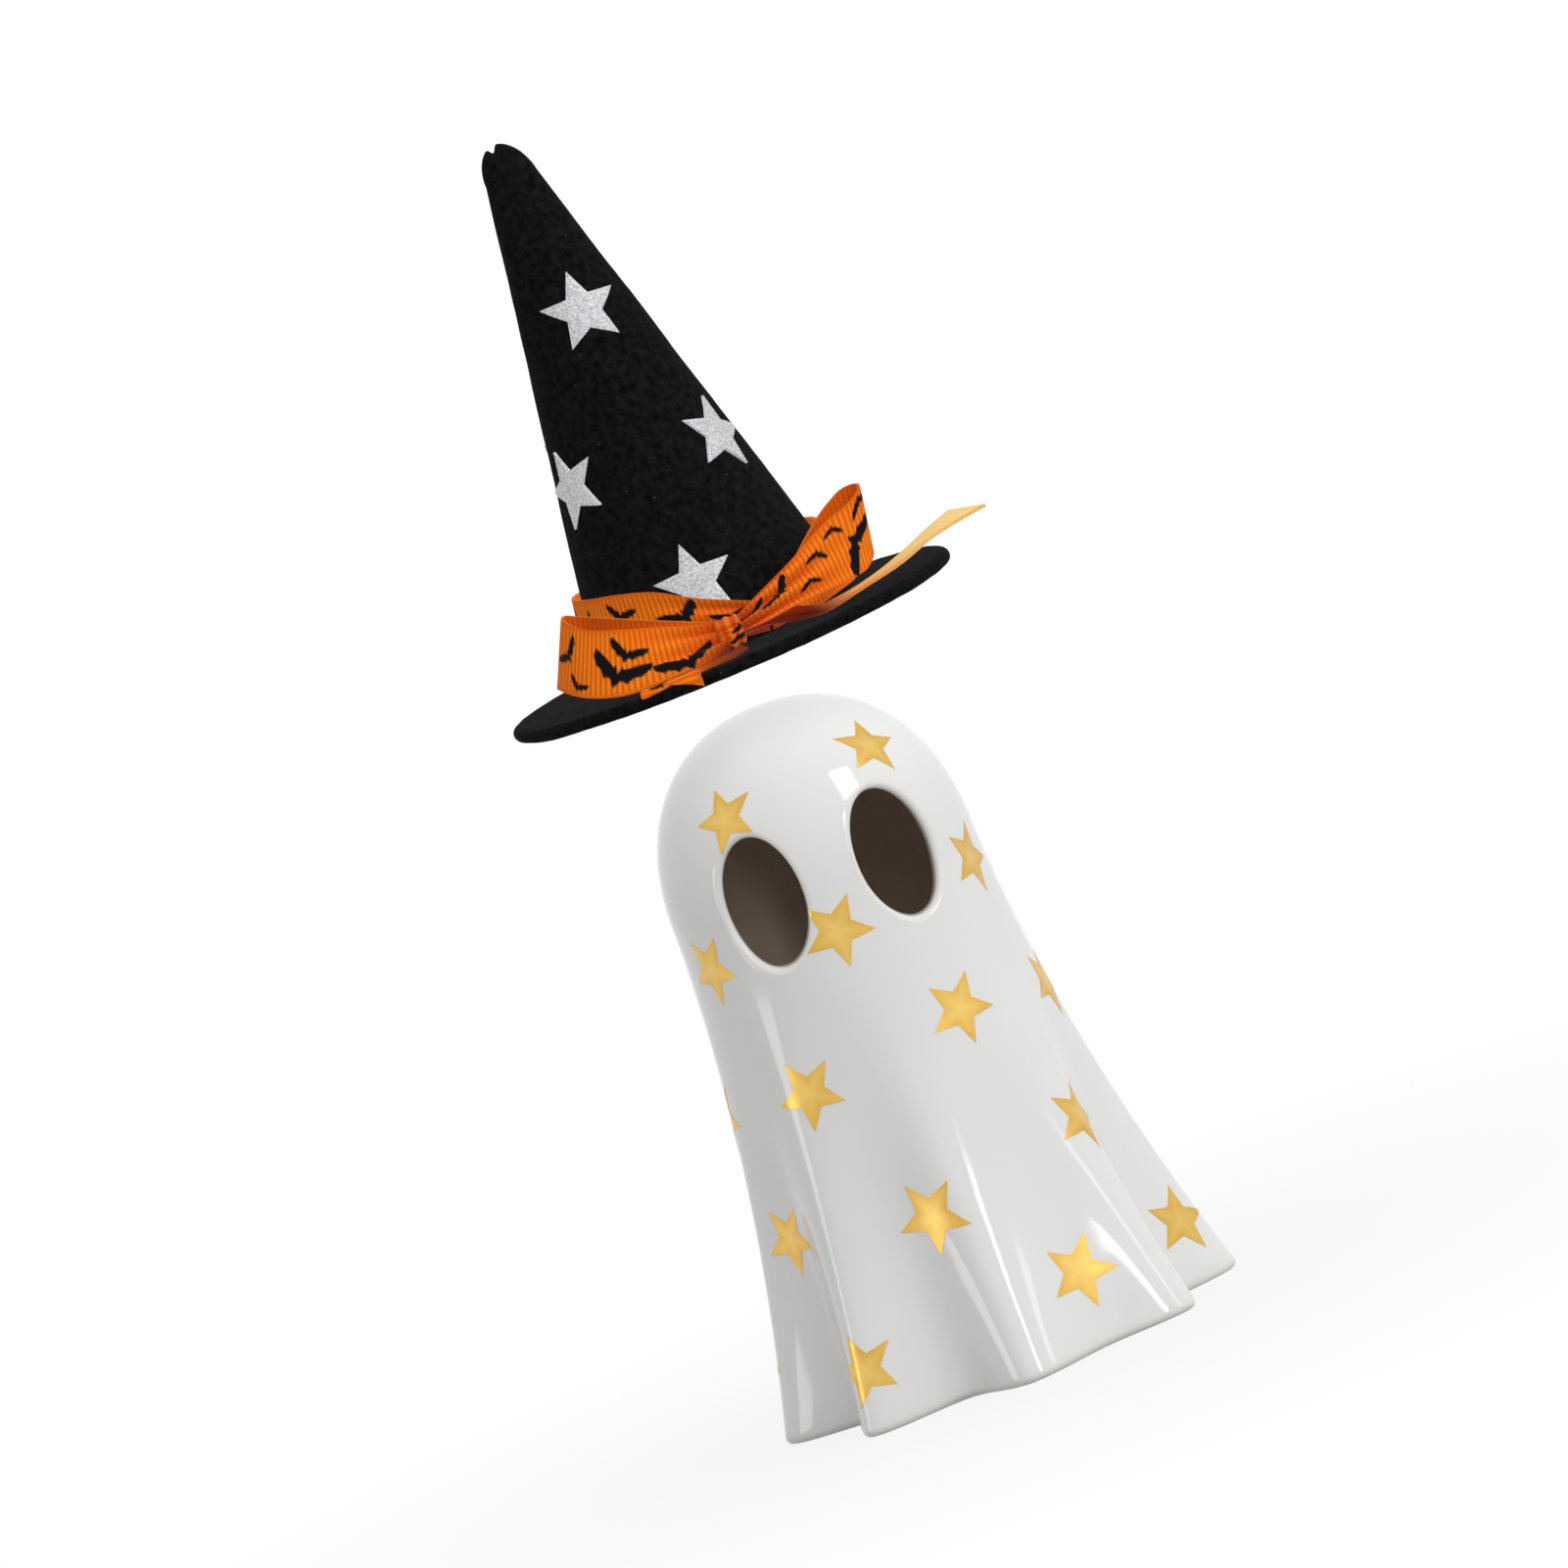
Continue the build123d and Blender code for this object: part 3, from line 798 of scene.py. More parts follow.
def silver_sheet():
    """Glitter sheet: pale grey ground, bright and dark flakes, a grainy surface."""
    material, tree, shader = start_material("silver_patch", Metallic=0.35, Roughness=0.5, IOR=1.5)
    clouds = put_group(tree, MOTTLE, Scale=2600.0, Detail=5.0, Contrast=2.8)
    ground = blend_colours(tree, clouds, (0.42, 0.42, 0.445, 1), (0.74, 0.745, 0.77, 1))
    dark = put_group(tree, SPECKLE, Scale=4600.0, Size=0.4, Share=0.22)
    dimmed = blend_colours(tree, dark, ground, (0.29, 0.29, 0.31, 1))
    bright = put_group(tree, SPECKLE, Scale=3800.0, Size=0.38, Share=0.16)
    flaked = blend_colours(tree, bright, dimmed, (0.9, 0.9, 0.92, 1))
    grain = put_group(tree, MOTTLE, Scale=2400.0, Detail=4.0, Contrast=2.0)
    coat(tree, shader, flaked, grain, strength=0.5, distance=0.0002)
    return material


silver = silver_sheet()
for place, rows in SILVER_STARS.items():
    grids = [grid for row in rows for grid in silver_star(*row)]
    stars = make_piece("silver_stars_" + place, "hat", grids, [silver], FINE_WELD)
    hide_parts("hat_stars_" + place)

# Ribbon: ten-millimetre orange grosgrain, ribbed across its length, with black bats printed on one side.
# A band runs round the crown's foot and is tied in a flat bow at the front.
RIBBON_W = 10.0
RIBBON_T = 0.5
RIB_PITCH = 0.85
RIB_H = 0.07
SELVAGE = 0.045
SELVAGE_RIB = 0.8
EDGE_STEPS = 40
ALONG_STEP = 0.17
ACROSS_POINTS = 41
PLEAT_H = 0.85
PLEATS = 2.5
KNOT_AT = np.array((0.6, -4.85 - CROWN_R, 3.1))
# How deep the dye looks: deeper red along its selvages, less under painted light, and painted shade inside
# its loops and near the knot, as far from it as each strip's reach; and a painted shadow below the knot, how
# dark it is. Painted light pales a lit end most from a set share of its length on.
SELVAGE_SHADE = 0.5
SELVAGE_SHADE_W = 0.08
SELVAGE_PALE = 0.6
PAINTED_LIGHT_FULL_AT = 0.75
FRONT_SHADE = 0.8
REAR_SHADE = {"gathered": 0.0, "folded": 0.65, "laid": 0.0}
UNDER_SHADE = 0.75
UNDER_DROP = 2.0
KNOT_FADE = 6.0
KNOT_REACH = {
    "ribbon_band": 9.0,
    "bow_left_loop": 9.0,
    "bow_right_loop": 9.0,
    "bow_left_tail": 12.0,
    "bow_right_tail": 19.0,
}
# A printed bat, in shares of its half span: rise and depth of its wings, and what they swell by, place,
# height and width of its ears, depth and width of its body, and depth and number of its scallops. The
# edge of the ink is in millimetres.
WING_RISE = 0.5
WING_RISE_POWER = 1.15
WING_DEPTH = 0.17
WING_SWELL = 0.11
WING_SWELL_POWER = 0.8
EAR_AT = 0.1
EAR_H = 0.15
EAR_W = 0.05
BODY_H = 0.14
BODY_W = 0.13
SCALLOP_H = 0.15
SCALLOPS = 2.5
INK_EDGE = 0.16


def smooth_line(points):
    """A smooth curve through points: cubics whose slope at each leans to the shorter of its two chords."""
    points = np.asarray(points, float)
    chords = np.diff(points, axis=0)
    lengths = np.linalg.norm(chords, axis=1, keepdims=True)
    ways = chords / lengths
    inner = (ways[:-1] * lengths[1:] + ways[1:] * lengths[:-1]) / (lengths[:-1] + lengths[1:])
    slopes = np.vstack([ways[:1], inner, ways[-1:]])
    u = (np.arange(EDGE_STEPS) / EDGE_STEPS)[None, :, None]
    bend = slopes[:-1, None] * (u * (1 - u) ** 2) - slopes[1:, None] * (u**2 * (1 - u))
    curve = points[:-1, None] + chords[:, None] * (u**2 * (3 - 2 * u)) + bend * lengths[:, None]
    return np.vstack([curve.reshape(-1, 3), points[-1:]])


def bat_ink(along, across, bats):
    """Ink of the printed bats, 0 to 1. A bat lies between two curves over its half span: wings that rise
    from the body to the tips, two ears, and a scalloped hind edge. A row gives place, turn and half span."""
    ink = np.zeros(np.broadcast(along, across).shape)
    for at, up, turn, span in bats:
        c, s = np.cos(np.radians(turn)), np.sin(np.radians(turn))
        x = ((along - at) * c + (across - up) * s) / span
        y = (-(along - at) * s + (across - up) * c) / span
        wing = np.clip(np.abs(x), 0, 1)
        middle = WING_RISE * (wing**WING_RISE_POWER - 0.5)
        thick = WING_DEPTH + WING_SWELL * np.sin(np.pi * wing**WING_SWELL_POWER)
        ears = EAR_H * bell(wing - EAR_AT, EAR_W)
        body = BODY_H * bell(wing, BODY_W)
        scallop = SCALLOP_H * np.abs(np.sin(SCALLOPS * np.pi * wing)) * (1 - wing / 2)
        room = np.minimum(middle + thick + ears - y, y - (middle - thick - body + scallop))
        room = np.minimum(room, 1 - np.abs(x)) * span
        ink = np.maximum(ink, np.clip(0.5 + room / INK_EDGE, 0, 1))
    return ink


def grosgrain():
    """Woven ribbon: uneven dye, painted shade between ribs, painted light, painted shade in folds, and black
    print with a painted shadow.
    """
    settings = {"Roughness": 0.62, "IOR": 1.45, "Specular IOR Level": 0.04}
    sheen = {"Sheen Weight": 0.01, "Sheen Roughness": 0.4}
    material, tree, shader = start_material("orange_ribbon", **settings, **sheen)
    clouds = put_group(tree, MOTTLE, Scale=220.0, Detail=4.0, Contrast=1.8)
    dye = blend_colours(tree, clouds, (0.93, 0.215, 0.008, 1), (0.98, 0.285, 0.016, 1))
    # Painted shade: the grooves between the ribs turn a darker red.
    groove_shaded = blend_colours(tree, read_mark(tree, "rib"), (0.68, 0.10, 0.003, 1), dye)
    # Painted light: a lit end pales towards a light orange.
    painted_light = blend_colours(tree, read_mark(tree, "pale"), groove_shaded, (1.0, 0.73, 0.27, 1))
    # Painted shade: deeper red in folds, pleats and round the knot, and along the selvages.
    folded = blend_colours(tree, read_mark(tree, "deep"), painted_light, (0.56, 0.04, 0.002, 1))
    # Black print, and in the same black the painted shadow below the knot.
    printed = blend_colours(tree, read_mark(tree, "ink"), folded, (0.006, 0.006, 0.007, 1))
    threads = put_group(tree, MOTTLE, Scale=3200.0, Detail=3.0, Contrast=1.6)
    coat(tree, shader, printed, threads, strength=0.35, distance=0.00012)
    return material


def ribbon_strip(name, first, second, printed, bats, held, rests_on, notch=0.0, painted_light=0.0):
    """A ribbon between two edges given by stations. The sheet runs straight from edge to edge; where it is
    drawn narrow it waves in pleats, and ribs run across it on both sides. Printed says which side takes the
    ink, a notch cuts its far end to a swallow tail, and the last argument is how much painted light pales
    the dye towards that end. Painted shade falls in its folds and near the knot, and a painted shadow below
    it."""
    edges = [smooth_line(first), smooth_line(second)]
    run = run_length(sum(edges) / 2)
    across = np.linspace(0, 1, ACROSS_POINTS)
    length = run[-1] - notch * (1 - np.abs(2 * across - 1))
    along = np.linspace(0, length, int(run[-1] / ALONG_STEP) + 1)
    first, second = (np.stack([np.interp(along, run, x) for x in edge.T], axis=-1) for edge in edges)
    sheet = between(first, second, across[None, :, None])
    normal = unit(np.cross(np.gradient(sheet, axis=0), np.gradient(sheet, axis=1)))
    width = np.linalg.norm(second - first, axis=-1)
    gather = np.clip(1 - width / RIBBON_W, 0, 1)
    pleat = gather * np.cos(2 * np.pi * PLEATS * across)[None, :]
    body = np.clip((0.5 - np.abs(across - 0.5)) / SELVAGE, 0, 1)[None, :]
    wave = 0.5 + 0.5 * np.cos(2 * np.pi * along / RIB_PITCH)
    rib = body * wave + (1 - body) * SELVAGE_RIB
    half = RIBBON_T / 2 - RIB_H * (1 - rib)
    sheet = sheet + normal * (PLEAT_H * pleat)[..., None]
    # Painted shade near the knot, inside loops and in the pleats' valleys.
    to_knot = np.linalg.norm(sheet - KNOT_AT, axis=-1)
    near_knot = np.clip((KNOT_REACH[name] - to_knot) / KNOT_FADE, 0, 1)
    # Painted shadow below the knot, put in with the black of the print.
    under = UNDER_SHADE * near_knot * np.clip((KNOT_AT[2] - sheet[..., 2]) / UNDER_DROP, 0, 1)
    valley = np.clip(gather - printed * pleat, 0, 1)
    # Painted light: paler towards the far end of a lit strip.
    pale = painted_light * np.clip(along / run[-1] / PAINTED_LIGHT_FULL_AT, 0, 1) ** 2
    selvage = np.clip(1 - (0.5 - np.abs(across - 0.5)) / SELVAGE_SHADE_W, 0, 1)[None, :]
    selvage = SELVAGE_SHADE * selvage * (1 - SELVAGE_PALE * pale)
    front_shade = np.maximum(selvage, np.maximum(valley, FRONT_SHADE * near_knot))
    rear_shade = np.maximum(selvage, np.maximum(REAR_SHADE[held], near_knot))
    off = normal * (printed * half)[..., None]
    ink = np.maximum(bat_ink(along, (across * RIBBON_W)[None, :], bats), under)
    sides = (
        {"points": in_place(sheet + off), "rib": rib, "ink": ink, "deep": front_shade, "pale": pale},
        {"points": in_place(sheet - off), "rib": rib, "ink": under, "deep": rear_shade, "pale": pale},
    )
    grids = [patch(**side) for side in sides]
    for border in (np.s_[:, 0], np.s_[:, -1], np.s_[0], np.s_[-1]):
        edge = {mark: np.stack([side[mark][border] for side in sides]) for mark in sides[0]}
        grids.append(patch(**edge))
    piece = make_piece(name + "_strip", "hat", grids, [ribbon_cloth], FINE_WELD)
    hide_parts(name)


ribbon_cloth = grosgrain()

# Ribbon band: the ring round the crown. It slants to one side, dips at the front where the bow draws it
# together, and its two ends meet behind the bow.
BAND_EASE = 0.9
BAND_TOP = 12.55
BAND_SLANT = 1.5
BAND_DIP = 7.0
BAND_DIP_ANGLE = 20.0
BAND_DIP_SPREAD = 22.0
BAND_GATHER = 0.55
BAND_ENDS = (17, -341)
BAND_STATIONS = 19
# One row a bat: distance along the ribbon, height from its first edge, turn, half span. Past the front they
# come at even steps and repeat a few heights, turns and spans.
FRONT_BATS = ((11.5, 6.4, -33, 3.8), (21.2, 7.2, 14, 2.7), (28.5, 6.5, 70, 1.8), (4.5, 6.0, -20, 3.0))
ROUND_BATS = [
    (34 + 7.1 * i, (7.2, 3.0, 5.4)[i % 3], (20, -45, 70, -15)[i % 4], (2.2, 3.6, 1.7)[i % 3])
    for i in range(13)
]


def band_edges():
    """Lower and upper edge of the band, by angle."""
    angle = np.linspace(*BAND_ENDS, BAND_STATIONS)
    off = turned_from(angle, BAND_DIP_ANGLE)
    dip = np.exp(-(off**2) / (2 * BAND_DIP_SPREAD**2))
    top = BAND_TOP - BAND_SLANT * np.sin(np.radians(angle)) - BAND_DIP * dip
    bottom = top - RIBBON_W * (1 - BAND_GATHER * dip) / np.hypot(1, CROWN_TAPER)
    return [crown_points(angle, h, BAND_EASE + RIBBON_T / 2) for h in (bottom, top)]


band_bats = [*FRONT_BATS, *ROUND_BATS]
ribbon_strip("ribbon_band", *band_edges(), -1, band_bats, "gathered", ["hat_crown", "bow_knot"])

# Bow: two loops and two tails of the same ribbon, measured from the foot of the crown's front on the brim.
# One row a station: a point on the first edge, the direction to the second, and the share of width that is
# left where the ribbon is gathered.
LEFT_LOOP = (
    ((0.4, -7.4, 1.5), (0.0, 0.55, 0.83), 0.36),
    ((-3.8, -9.8, 0.95), (0.0, 0.6, 0.8), 0.6),
    ((-9.3, -10.7, 0.9), (0.1, 0.55, 0.83), 0.82),
    ((-16.4, -9.6, 1.0), (0.28, 0.45, 0.85), 1.0),
    ((-21.9, -5.4, 2.4), (0.4, 0.33, 0.85), 1.0),
    ((-24.9, 0.9, 4.1), (0.42, 0.15, 0.9), 1.0),
    ((-25.3, 3.3, 4.5), (0.44, 0.05, 0.9), 1.0),
    ((-24.5, 4.9, 4.5), (0.41, 0.0, 0.91), 1.0),
    ((-22.8, 5.0, 3.7), (0.38, -0.02, 0.92), 1.0),
    ((-17.2, 2.3, 1.5), (0.25, -0.08, 0.96), 1.0),
    ((-9.0, -0.7, 1.1), (0.1, -0.1, 0.98), 0.72),
    ((-0.4, -3.6, 1.7), (0.0, 0.0, 1.0), 0.3),
)
RIGHT_LOOP = (
    ((1.7, -6.4, 2.3), (0.1, 0.42, 0.9), 0.3),
    ((6.3, -7.0, 2.6), (0.02, 0.41, 0.91), 0.46),
    ((9.7, -6.4, 2.9), (-0.04, 0.41, 0.91), 0.55),
    ((13.1, -5.2, 3.0), (-0.08, 0.34, 0.94), 0.65),
    ((16.5, -3.6, 3.0), (-0.09, 0.31, 0.95), 0.79),
    ((19.4, -1.9, 3.0), (-0.02, 0.27, 0.96), 0.92),
    ((22.0, 0.0, 3.3), (0.12, 0.24, 0.96), 1.0),
    ((23.6, 2.4, 4.5), (0.2, 0.2, 0.96), 1.0),
    ((23.7, 5.0, 5.0), (0.17, 0.15, 0.97), 1.0),
    ((22.3, 7.0, 4.8), (0.1, 0.05, 0.99), 1.0),
    ((20.5, 6.9, 4.2), (0.05, 0.0, 1.0), 0.96),
    ((18.0, 5.2, 3.6), (0.0, 0.0, 1.0), 0.86),
    ((15.0, 2.8, 3.2), (0.0, 0.0, 1.0), 0.7),
    ((11.3, 0.2, 2.6), (0.0, 0.0, 1.0), 0.5),
    ((6.9, -1.9, 2.3), (0.0, 0.0, 1.0), 0.36),
    ((1.9, -3.7, 2.1), (0.0, 0.0, 1.0), 0.28),
)
RIGHT_TAIL = (
    ((1.7, -2.9, 1.5), (0.0, 0.35, 0.94), 0.3),
    ((5.8, -1.9, 1.3), (0.0, 0.3, 0.95), 0.3),
    ((10.0, -2.5, 0.9), (0.0, 0.93, 0.36), 0.38),
    ((14.7, -5.4, 0.5), (-0.15, 0.98, 0.05), 0.8),
    ((20.4, -6.0, 1.6), (-0.36, 0.93, -0.08), 1.0),
    ((26.5, -4.0, 2.5), (-0.4, 0.91, -0.1), 1.0),
    ((33.1, -1.0, 4.1), (-0.42, 0.9, -0.1), 1.0),
    ((37.2, 0.7, 4.6), (-0.46, 0.88, -0.03), 1.0),
    ((41.4, 2.5, 4.9), (-0.5, 0.86, 0.04), 1.0),
)
LEFT_TAIL = (
    ((-2.6, -4.2, 0.45), (0.86, -0.5, 0.0), 0.55),
    ((-7.4, -7.6, 0.45), (0.9, -0.43, 0.0), 0.8),
)
LEFT_TAIL_CORNERS = (-25.2, -9.5)
LEFT_TAIL_OVERHANG = (0.5, 1.1)
LEFT_TAIL_DROOP = (0.2, 1.5)
LEFT_TAIL_NOTCH = 1.2
TAIL_LIE = 0.45
TAIL_BEND = 1.5
# How much painted light pales the right tail's far end.
RIGHT_TAIL_PAINTED_LIGHT = 0.9
LEFT_LOOP_BATS = (
    (7.3, 2.4, -13, 4.6),
    (17.1, 3.8, 22, 4.8),
    (15.5, 6.5, 24, 3.2),
    (24.2, 1.8, 21, 2.1),
    (27.2, 5.9, -45, 3.0),
    (41.0, 3.2, -30, 3.4),
    (48.0, 6.5, 30, 2.4),
)
RIGHT_LOOP_BATS = (
    (2.6, 6.0, 15, 2.6),
    (7.4, 5.8, 45, 3.4),
    (12.6, 3.0, 180, 1.9),
    (15.4, 6.6, 157, 2.0),
    (19.3, 8.0, 165, 1.7),
    (22.8, 3.9, -140, 4.5),
    (25.0, 8.5, -168, 2.3),
    (33.0, 5.5, 150, 3.4),
    (42.0, 4.0, 40, 2.4),
)
LEFT_TAIL_BATS = ((12.5, 3.4, 110, 2.0), (6.0, 6.5, 40, 2.0))
RIGHT_TAIL_BATS = ((8.0, 4.0, 20, 2.2), (19.0, 6.0, -60, 3.4), (31.0, 4.0, 40, 2.4))
TIED_TO = ["bow_knot", "hat_brim"]


def bow_edges(stations):
    """The two edges of a bow strip from its stations."""
    start, way, share = (np.array(column, float) for column in zip(*stations))
    first = start - (0, CROWN_R, 0)
    return first, first + unit(way) * (RIBBON_W * share[:, None])


def left_tail_edges():
    """The left tail's edges: flat from under the knot to the brim's edge, then drooping past it."""
    corners = np.array(LEFT_TAIL_CORNERS)
    bend, rim = [round_points(corners, BRIM_R - inset, TAIL_LIE) for inset in (TAIL_BEND, 0)]
    ends = round_points(corners, BRIM_R + np.array(LEFT_TAIL_OVERHANG), -np.array(LEFT_TAIL_DROOP))
    return [np.vstack(edge) for edge in zip(bow_edges(LEFT_TAIL), bend, rim, ends)]


left_tail, right_tail = left_tail_edges(), bow_edges(RIGHT_TAIL)
ribbon_strip("bow_left_loop", *bow_edges(LEFT_LOOP), -1, LEFT_LOOP_BATS, "folded", TIED_TO)
ribbon_strip("bow_right_loop", *bow_edges(RIGHT_LOOP), 1, RIGHT_LOOP_BATS, "folded", TIED_TO)
ribbon_strip("bow_right_tail", *right_tail, -1, RIGHT_TAIL_BATS, "laid", TIED_TO, painted_light=RIGHT_TAIL_PAINTED_LIGHT)
ribbon_strip("bow_left_tail", *left_tail, 1, LEFT_TAIL_BATS, "laid", TIED_TO, notch=LEFT_TAIL_NOTCH)

# Bow knot: a short turn of the same ribbon, pulled tight round the middle of the bow.
# It is creased along its length, and a fold of it lies over the front top edge. Its crease valleys and ends
# take painted shade.
KNOT_SIZE = np.array((4.0, 7.0, 4.6))
KNOT_POWER = 3.2
KNOT_END_POWERS = (7, 0.4)
KNOT_COLUMNS = 240
KNOT_ROWS = 49
KNOT_CREASE = 0.16
KNOT_CREASES = 2.5
KNOT_SHADE = 0.45
KNOT_SHADE_POWER = 4
KNOT_FOLD = 0.4
KNOT_FOLD_TURN = 38.0
KNOT_FOLD_SPREAD = 8.0
KNOT_BATS = ((0.4, 3.7, 80, 1.9), (16.8, 3.4, 100, 1.9), (8.0, 4.0, 20, 1.8))


def knot_wrap():
    """A superellipse turned about the bow's length: creases run round it, ribs cross them, a fold lies on
    its front top edge, and both ends close in. Rows run along the bow and columns round the wrap."""
    turn = ring_angles(KNOT_COLUMNS)
    c, s = np.cos(np.radians(turn)), np.sin(np.radians(turn))
    reach = (np.abs(c) ** KNOT_POWER + np.abs(s) ** KNOT_POWER) ** (-1 / KNOT_POWER)
    aside = np.sin(np.linspace(-np.pi / 2, np.pi / 2, KNOT_ROWS))[:, None]
    close = (1 - np.abs(aside) ** KNOT_END_POWERS[0]) ** KNOT_END_POWERS[1]
    length = turn * np.radians(1) * (KNOT_SIZE[1] + KNOT_SIZE[2]) / 4
    rib = 0.5 + 0.5 * np.cos(2 * np.pi * length / RIB_PITCH)[None, :] + 0 * aside
    fold = KNOT_FOLD * bell(turn - KNOT_FOLD_TURN, KNOT_FOLD_SPREAD)
    crease = np.cos(np.pi * KNOT_CREASES * aside)
    out = (KNOT_CREASE * crease - RIB_H * (1 - rib) + fold[None, :]) * close
    front = (KNOT_SIZE[1] / 2 - KNOT_CREASE) * reach * c
    high = (KNOT_SIZE[2] / 2 - KNOT_CREASE) * reach * s
    points = as_points(
        KNOT_AT[0] + aside * KNOT_SIZE[0] / 2,
        KNOT_AT[1] - front * close - out * c,
        KNOT_AT[2] + high * close + out * s,
    )
    ink = bat_ink(length[None, :], (aside + 1) * KNOT_SIZE[0] / 2, KNOT_BATS)
    # Painted shade in the crease valleys and towards the closed ends.
    ends = np.abs(aside) ** KNOT_SHADE_POWER
    deep = np.clip(KNOT_SHADE * (1 - crease) + ends, 0, 2 * KNOT_SHADE)
    return patch(in_place(points), ring=True, rib=rib, ink=ink, deep=deep)


knot = make_piece("bow_knot_wrap", "hat", [knot_wrap()], [ribbon_cloth], FINE_WELD)
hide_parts("bow_knot")

# Stage: a white studio sweep under soft light. The floor fades to plain white away from the object.
# In the picture the lifted hat neither shades the head nor shows in its glaze, so it lets those rays by.
for piece in bpy.data.objects:
    if piece.name.startswith(("felt_", "glue_", "silver_", "ribbon_", "bow_")):
        piece.visible_diffuse = False
        piece.visible_glossy = False
        piece.visible_shadow = piece.name.startswith("bow_")
FLOOR_R = 6.0
FLOOR_ROWS = 40
FLOOR_COLUMNS = 96
FLOOR_GREY = (0.45, 0.45, 0.45, 1)
FLOOR_WHITE = 0.86
SHADOW_FROM = 0.03
SHADOW_TO = 0.16


def studio_floor():
    """A wide flat disc, its rows spaced closer near the object."""
    radius = FLOOR_R / MM * np.linspace(0, 1, FLOOR_ROWS)[:, None] ** 2
    return round_points(ring_angles(FLOOR_COLUMNS)[None, :], radius, 0.0)


def seen_white(tree):
    """One for rays from the camera, from gloss and through glass, which see the studio as plain white."""
    path = put(tree, "ShaderNodeLightPath").outputs
    seen = put_math(tree, "MAXIMUM", path["Is Camera Ray"], path["Is Glossy Ray"])
    return put_math(tree, "MAXIMUM", seen, path["Is Transmission Ray"])


def floor_finish():
    """White paper: plain white plus a share of the real shading near the object, which keeps a soft shadow
    there, and further out plain white alone."""
    settings = {"Base Color": FLOOR_GREY, "Roughness": 0.9, "Specular IOR Level": 0.0}
    material, tree, shader = start_material("studio_white", **settings)
    place = put(tree, "ShaderNodeTexCoord").outputs["Object"]
    away = put(tree, "ShaderNodeVectorMath", {0: place}, operation="LENGTH").outputs["Value"]
    stretch = {"From Min": SHADOW_FROM, "From Max": SHADOW_TO, "To Min": FLOOR_WHITE, "To Max": 1.0}
    fade = put(tree, "ShaderNodeMapRange", {"Value": away, **stretch}).outputs["Result"]
    amount = put_math(tree, "MULTIPLY", fade, seen_white(tree))
    white = put(tree, "ShaderNodeEmission", {"Color": (1, 1, 1, 1), "Strength": 1.0}).outputs["Emission"]
    mix = put(tree, "ShaderNodeMixShader", {0: amount, 1: shader.outputs["BSDF"], 2: white})
    tree.links.new(mix.outputs["Shader"], tree.nodes["Material Output"].inputs["Surface"])
    return material


floor = make_piece("studio_floor", "ghost", [patch(studio_floor(), ring=True)], [floor_finish()])
floor.parent = None

# Sky: soft light from all round, most of it from overhead and a little more from the right.
# Where it is seen, in the picture or in the glaze, it is plain white.
SKY_TINT = (1.0, 0.995, 0.98, 1)
SKY_LEVEL = 0.32
SKY_SLOPE = (0.24, 0.0, 0.75)
SKY_LEAST = 0.05
world = bpy.data.worlds.new("studio")
scene.world = world
world.use_nodes = True
sky = world.node_tree
ambient = sky.nodes["Background"]
ambient.inputs["Color"].default_value = SKY_TINT
facing = put(sky, "ShaderNodeTexCoord").outputs["Generated"]
slope = put(sky, "ShaderNodeVectorMath", {0: facing, 1: SKY_SLOPE}, operation="DOT_PRODUCT").outputs["Value"]
level = put_math(sky, "MAXIMUM", put_math(sky, "ADD", slope, SKY_LEVEL), SKY_LEAST)
sky.links.new(level, ambient.inputs["Strength"])
white = put(sky, "ShaderNodeBackground", {"Color": (1, 1, 1, 1), "Strength": 1.0})
shades = {1: ambient.outputs["Background"], 2: white.outputs["Background"]}
either = put(sky, "ShaderNodeMixShader", {0: seen_white(sky), **shades})
sky.links.new(either.outputs["Shader"], sky.nodes["World Output"].inputs["Surface"])

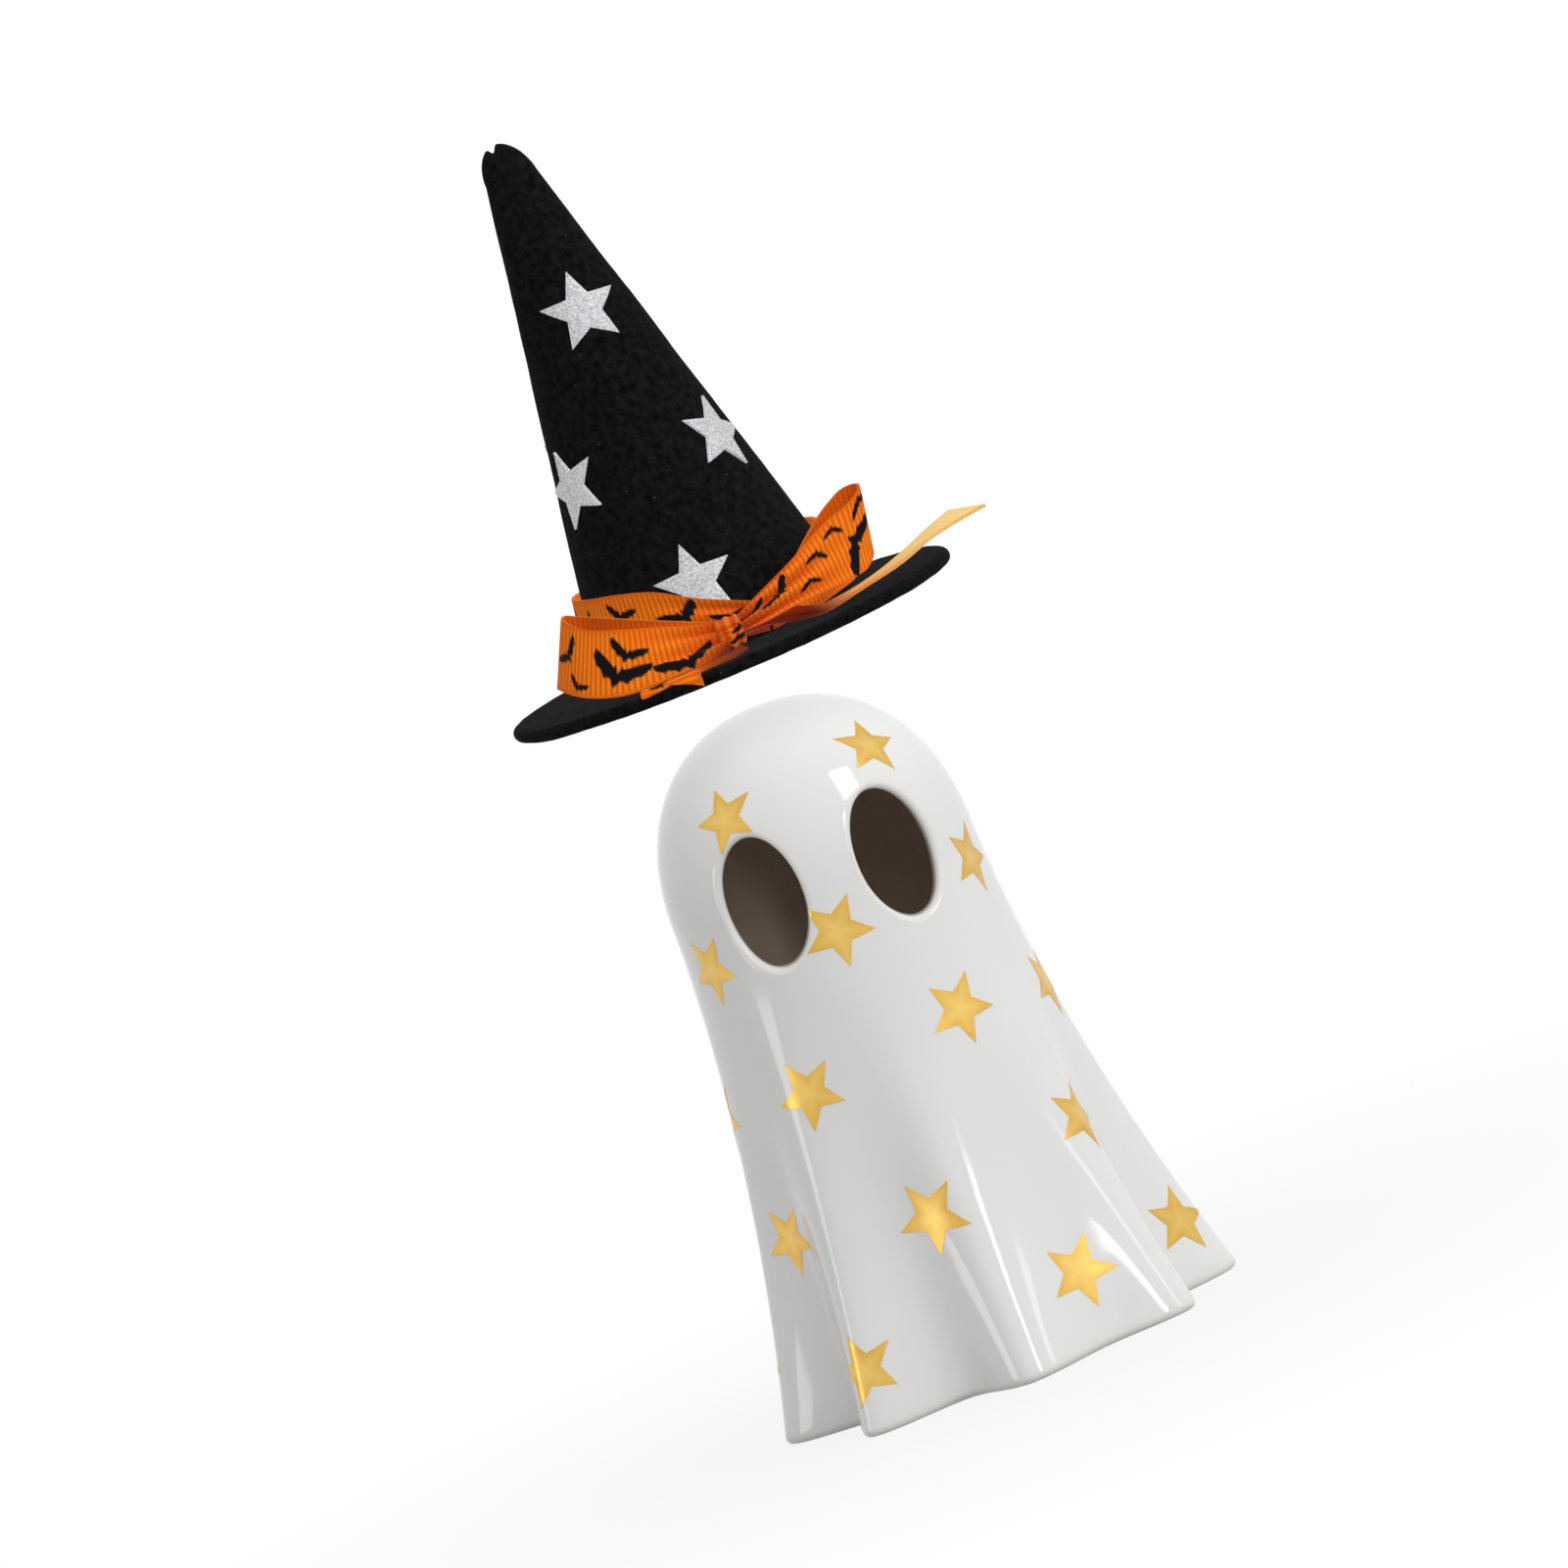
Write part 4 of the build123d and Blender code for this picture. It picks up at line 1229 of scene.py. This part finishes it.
# Lamps: softboxes and strips whose reflections lie on the glaze, and a wide fill that doesn't show in it.
# One row a lamp: name, direction from the figure (right, towards the camera, up), distance, width, height,
# roll, watts.
LAMPS = (
    ("key_softbox", (0.607, 0.519, 0.602), 0.9, 0.25, 0.32, 18.0, 1.4),
    ("near_right_strip", (0.521, 0.818, 0.242), 0.9, 0.08, 0.28, 0.0, 0.6),
    ("far_right_strip", (0.793, 0.566, 0.225), 0.9, 0.08, 0.28, 0.0, 0.22),
    ("left_strip", (-0.967, 0.232, 0.105), 0.9, 0.24, 0.26, 0.0, 0.6),
    ("front_fill", (0.25, 0.90, 0.55), 1.6, 1.1, 0.8, 0.0, 3.0),
)
AIM = Vector((0, 0, 0.09))
for name, way, distance, width, height, lean, watts in LAMPS:
    lamp = bpy.data.lights.new(name, "AREA")
    lamp.shape = "RECTANGLE"
    lamp.size, lamp.size_y = width, height
    lamp.energy = watts
    towards = Vector((way[0], -way[1], way[2])).normalized()
    holder = bpy.data.objects.new(name, lamp)
    facing_in = towards.to_track_quat("Z", "Y").to_matrix().to_4x4()
    turn = Matrix.Rotation(np.radians(-lean), 4, "Z")
    holder.matrix_world = Matrix.Translation(AIM + towards * distance) @ facing_in @ turn
    holder.visible_glossy = name != "front_fill"
    scene.collection.objects.link(holder)

# Camera: far off with a long lens, six degrees above level, and rolled so that the figure leans to the left.
# The lens makes a millimetre at the figure as many pixels wide as it is in the picture.
PHOTO_PIXELS = 1601
PIXELS_PER_MM = 7.05
CAMERA_AWAY = 2.4
CAMERA_Z = 0.345
CAMERA_ANGLE = -2.5
CAMERA_ROLL = 21.4
AIM_RIGHT = -0.00035
camera_turn = np.radians(CAMERA_ANGLE)
eye_at = Vector((CAMERA_AWAY * np.sin(camera_turn), -CAMERA_AWAY * np.cos(camera_turn), CAMERA_Z))
forward = (AIM - eye_at).normalized()
right = forward.cross(Vector((0, 0, 1))).normalized()
up = right.cross(forward)
roll = np.radians(CAMERA_ROLL)
rolled_right = right * np.cos(roll) - up * np.sin(roll)
rolled_up = right * np.sin(roll) + up * np.cos(roll)
lens = bpy.data.cameras.new("camera")
lens.sensor_width = 36.0
lens.lens = lens.sensor_width * PIXELS_PER_MM / MM * (AIM - eye_at).length / PHOTO_PIXELS
camera = bpy.data.objects.new("camera", lens)
camera_axes = Matrix((rolled_right, rolled_up, -forward)).transposed().to_4x4()
camera.matrix_world = Matrix.Translation(eye_at + right * AIM_RIGHT) @ camera_axes
scene.collection.objects.link(camera)
scene.camera = camera
scene.view_settings.view_transform = "Standard"
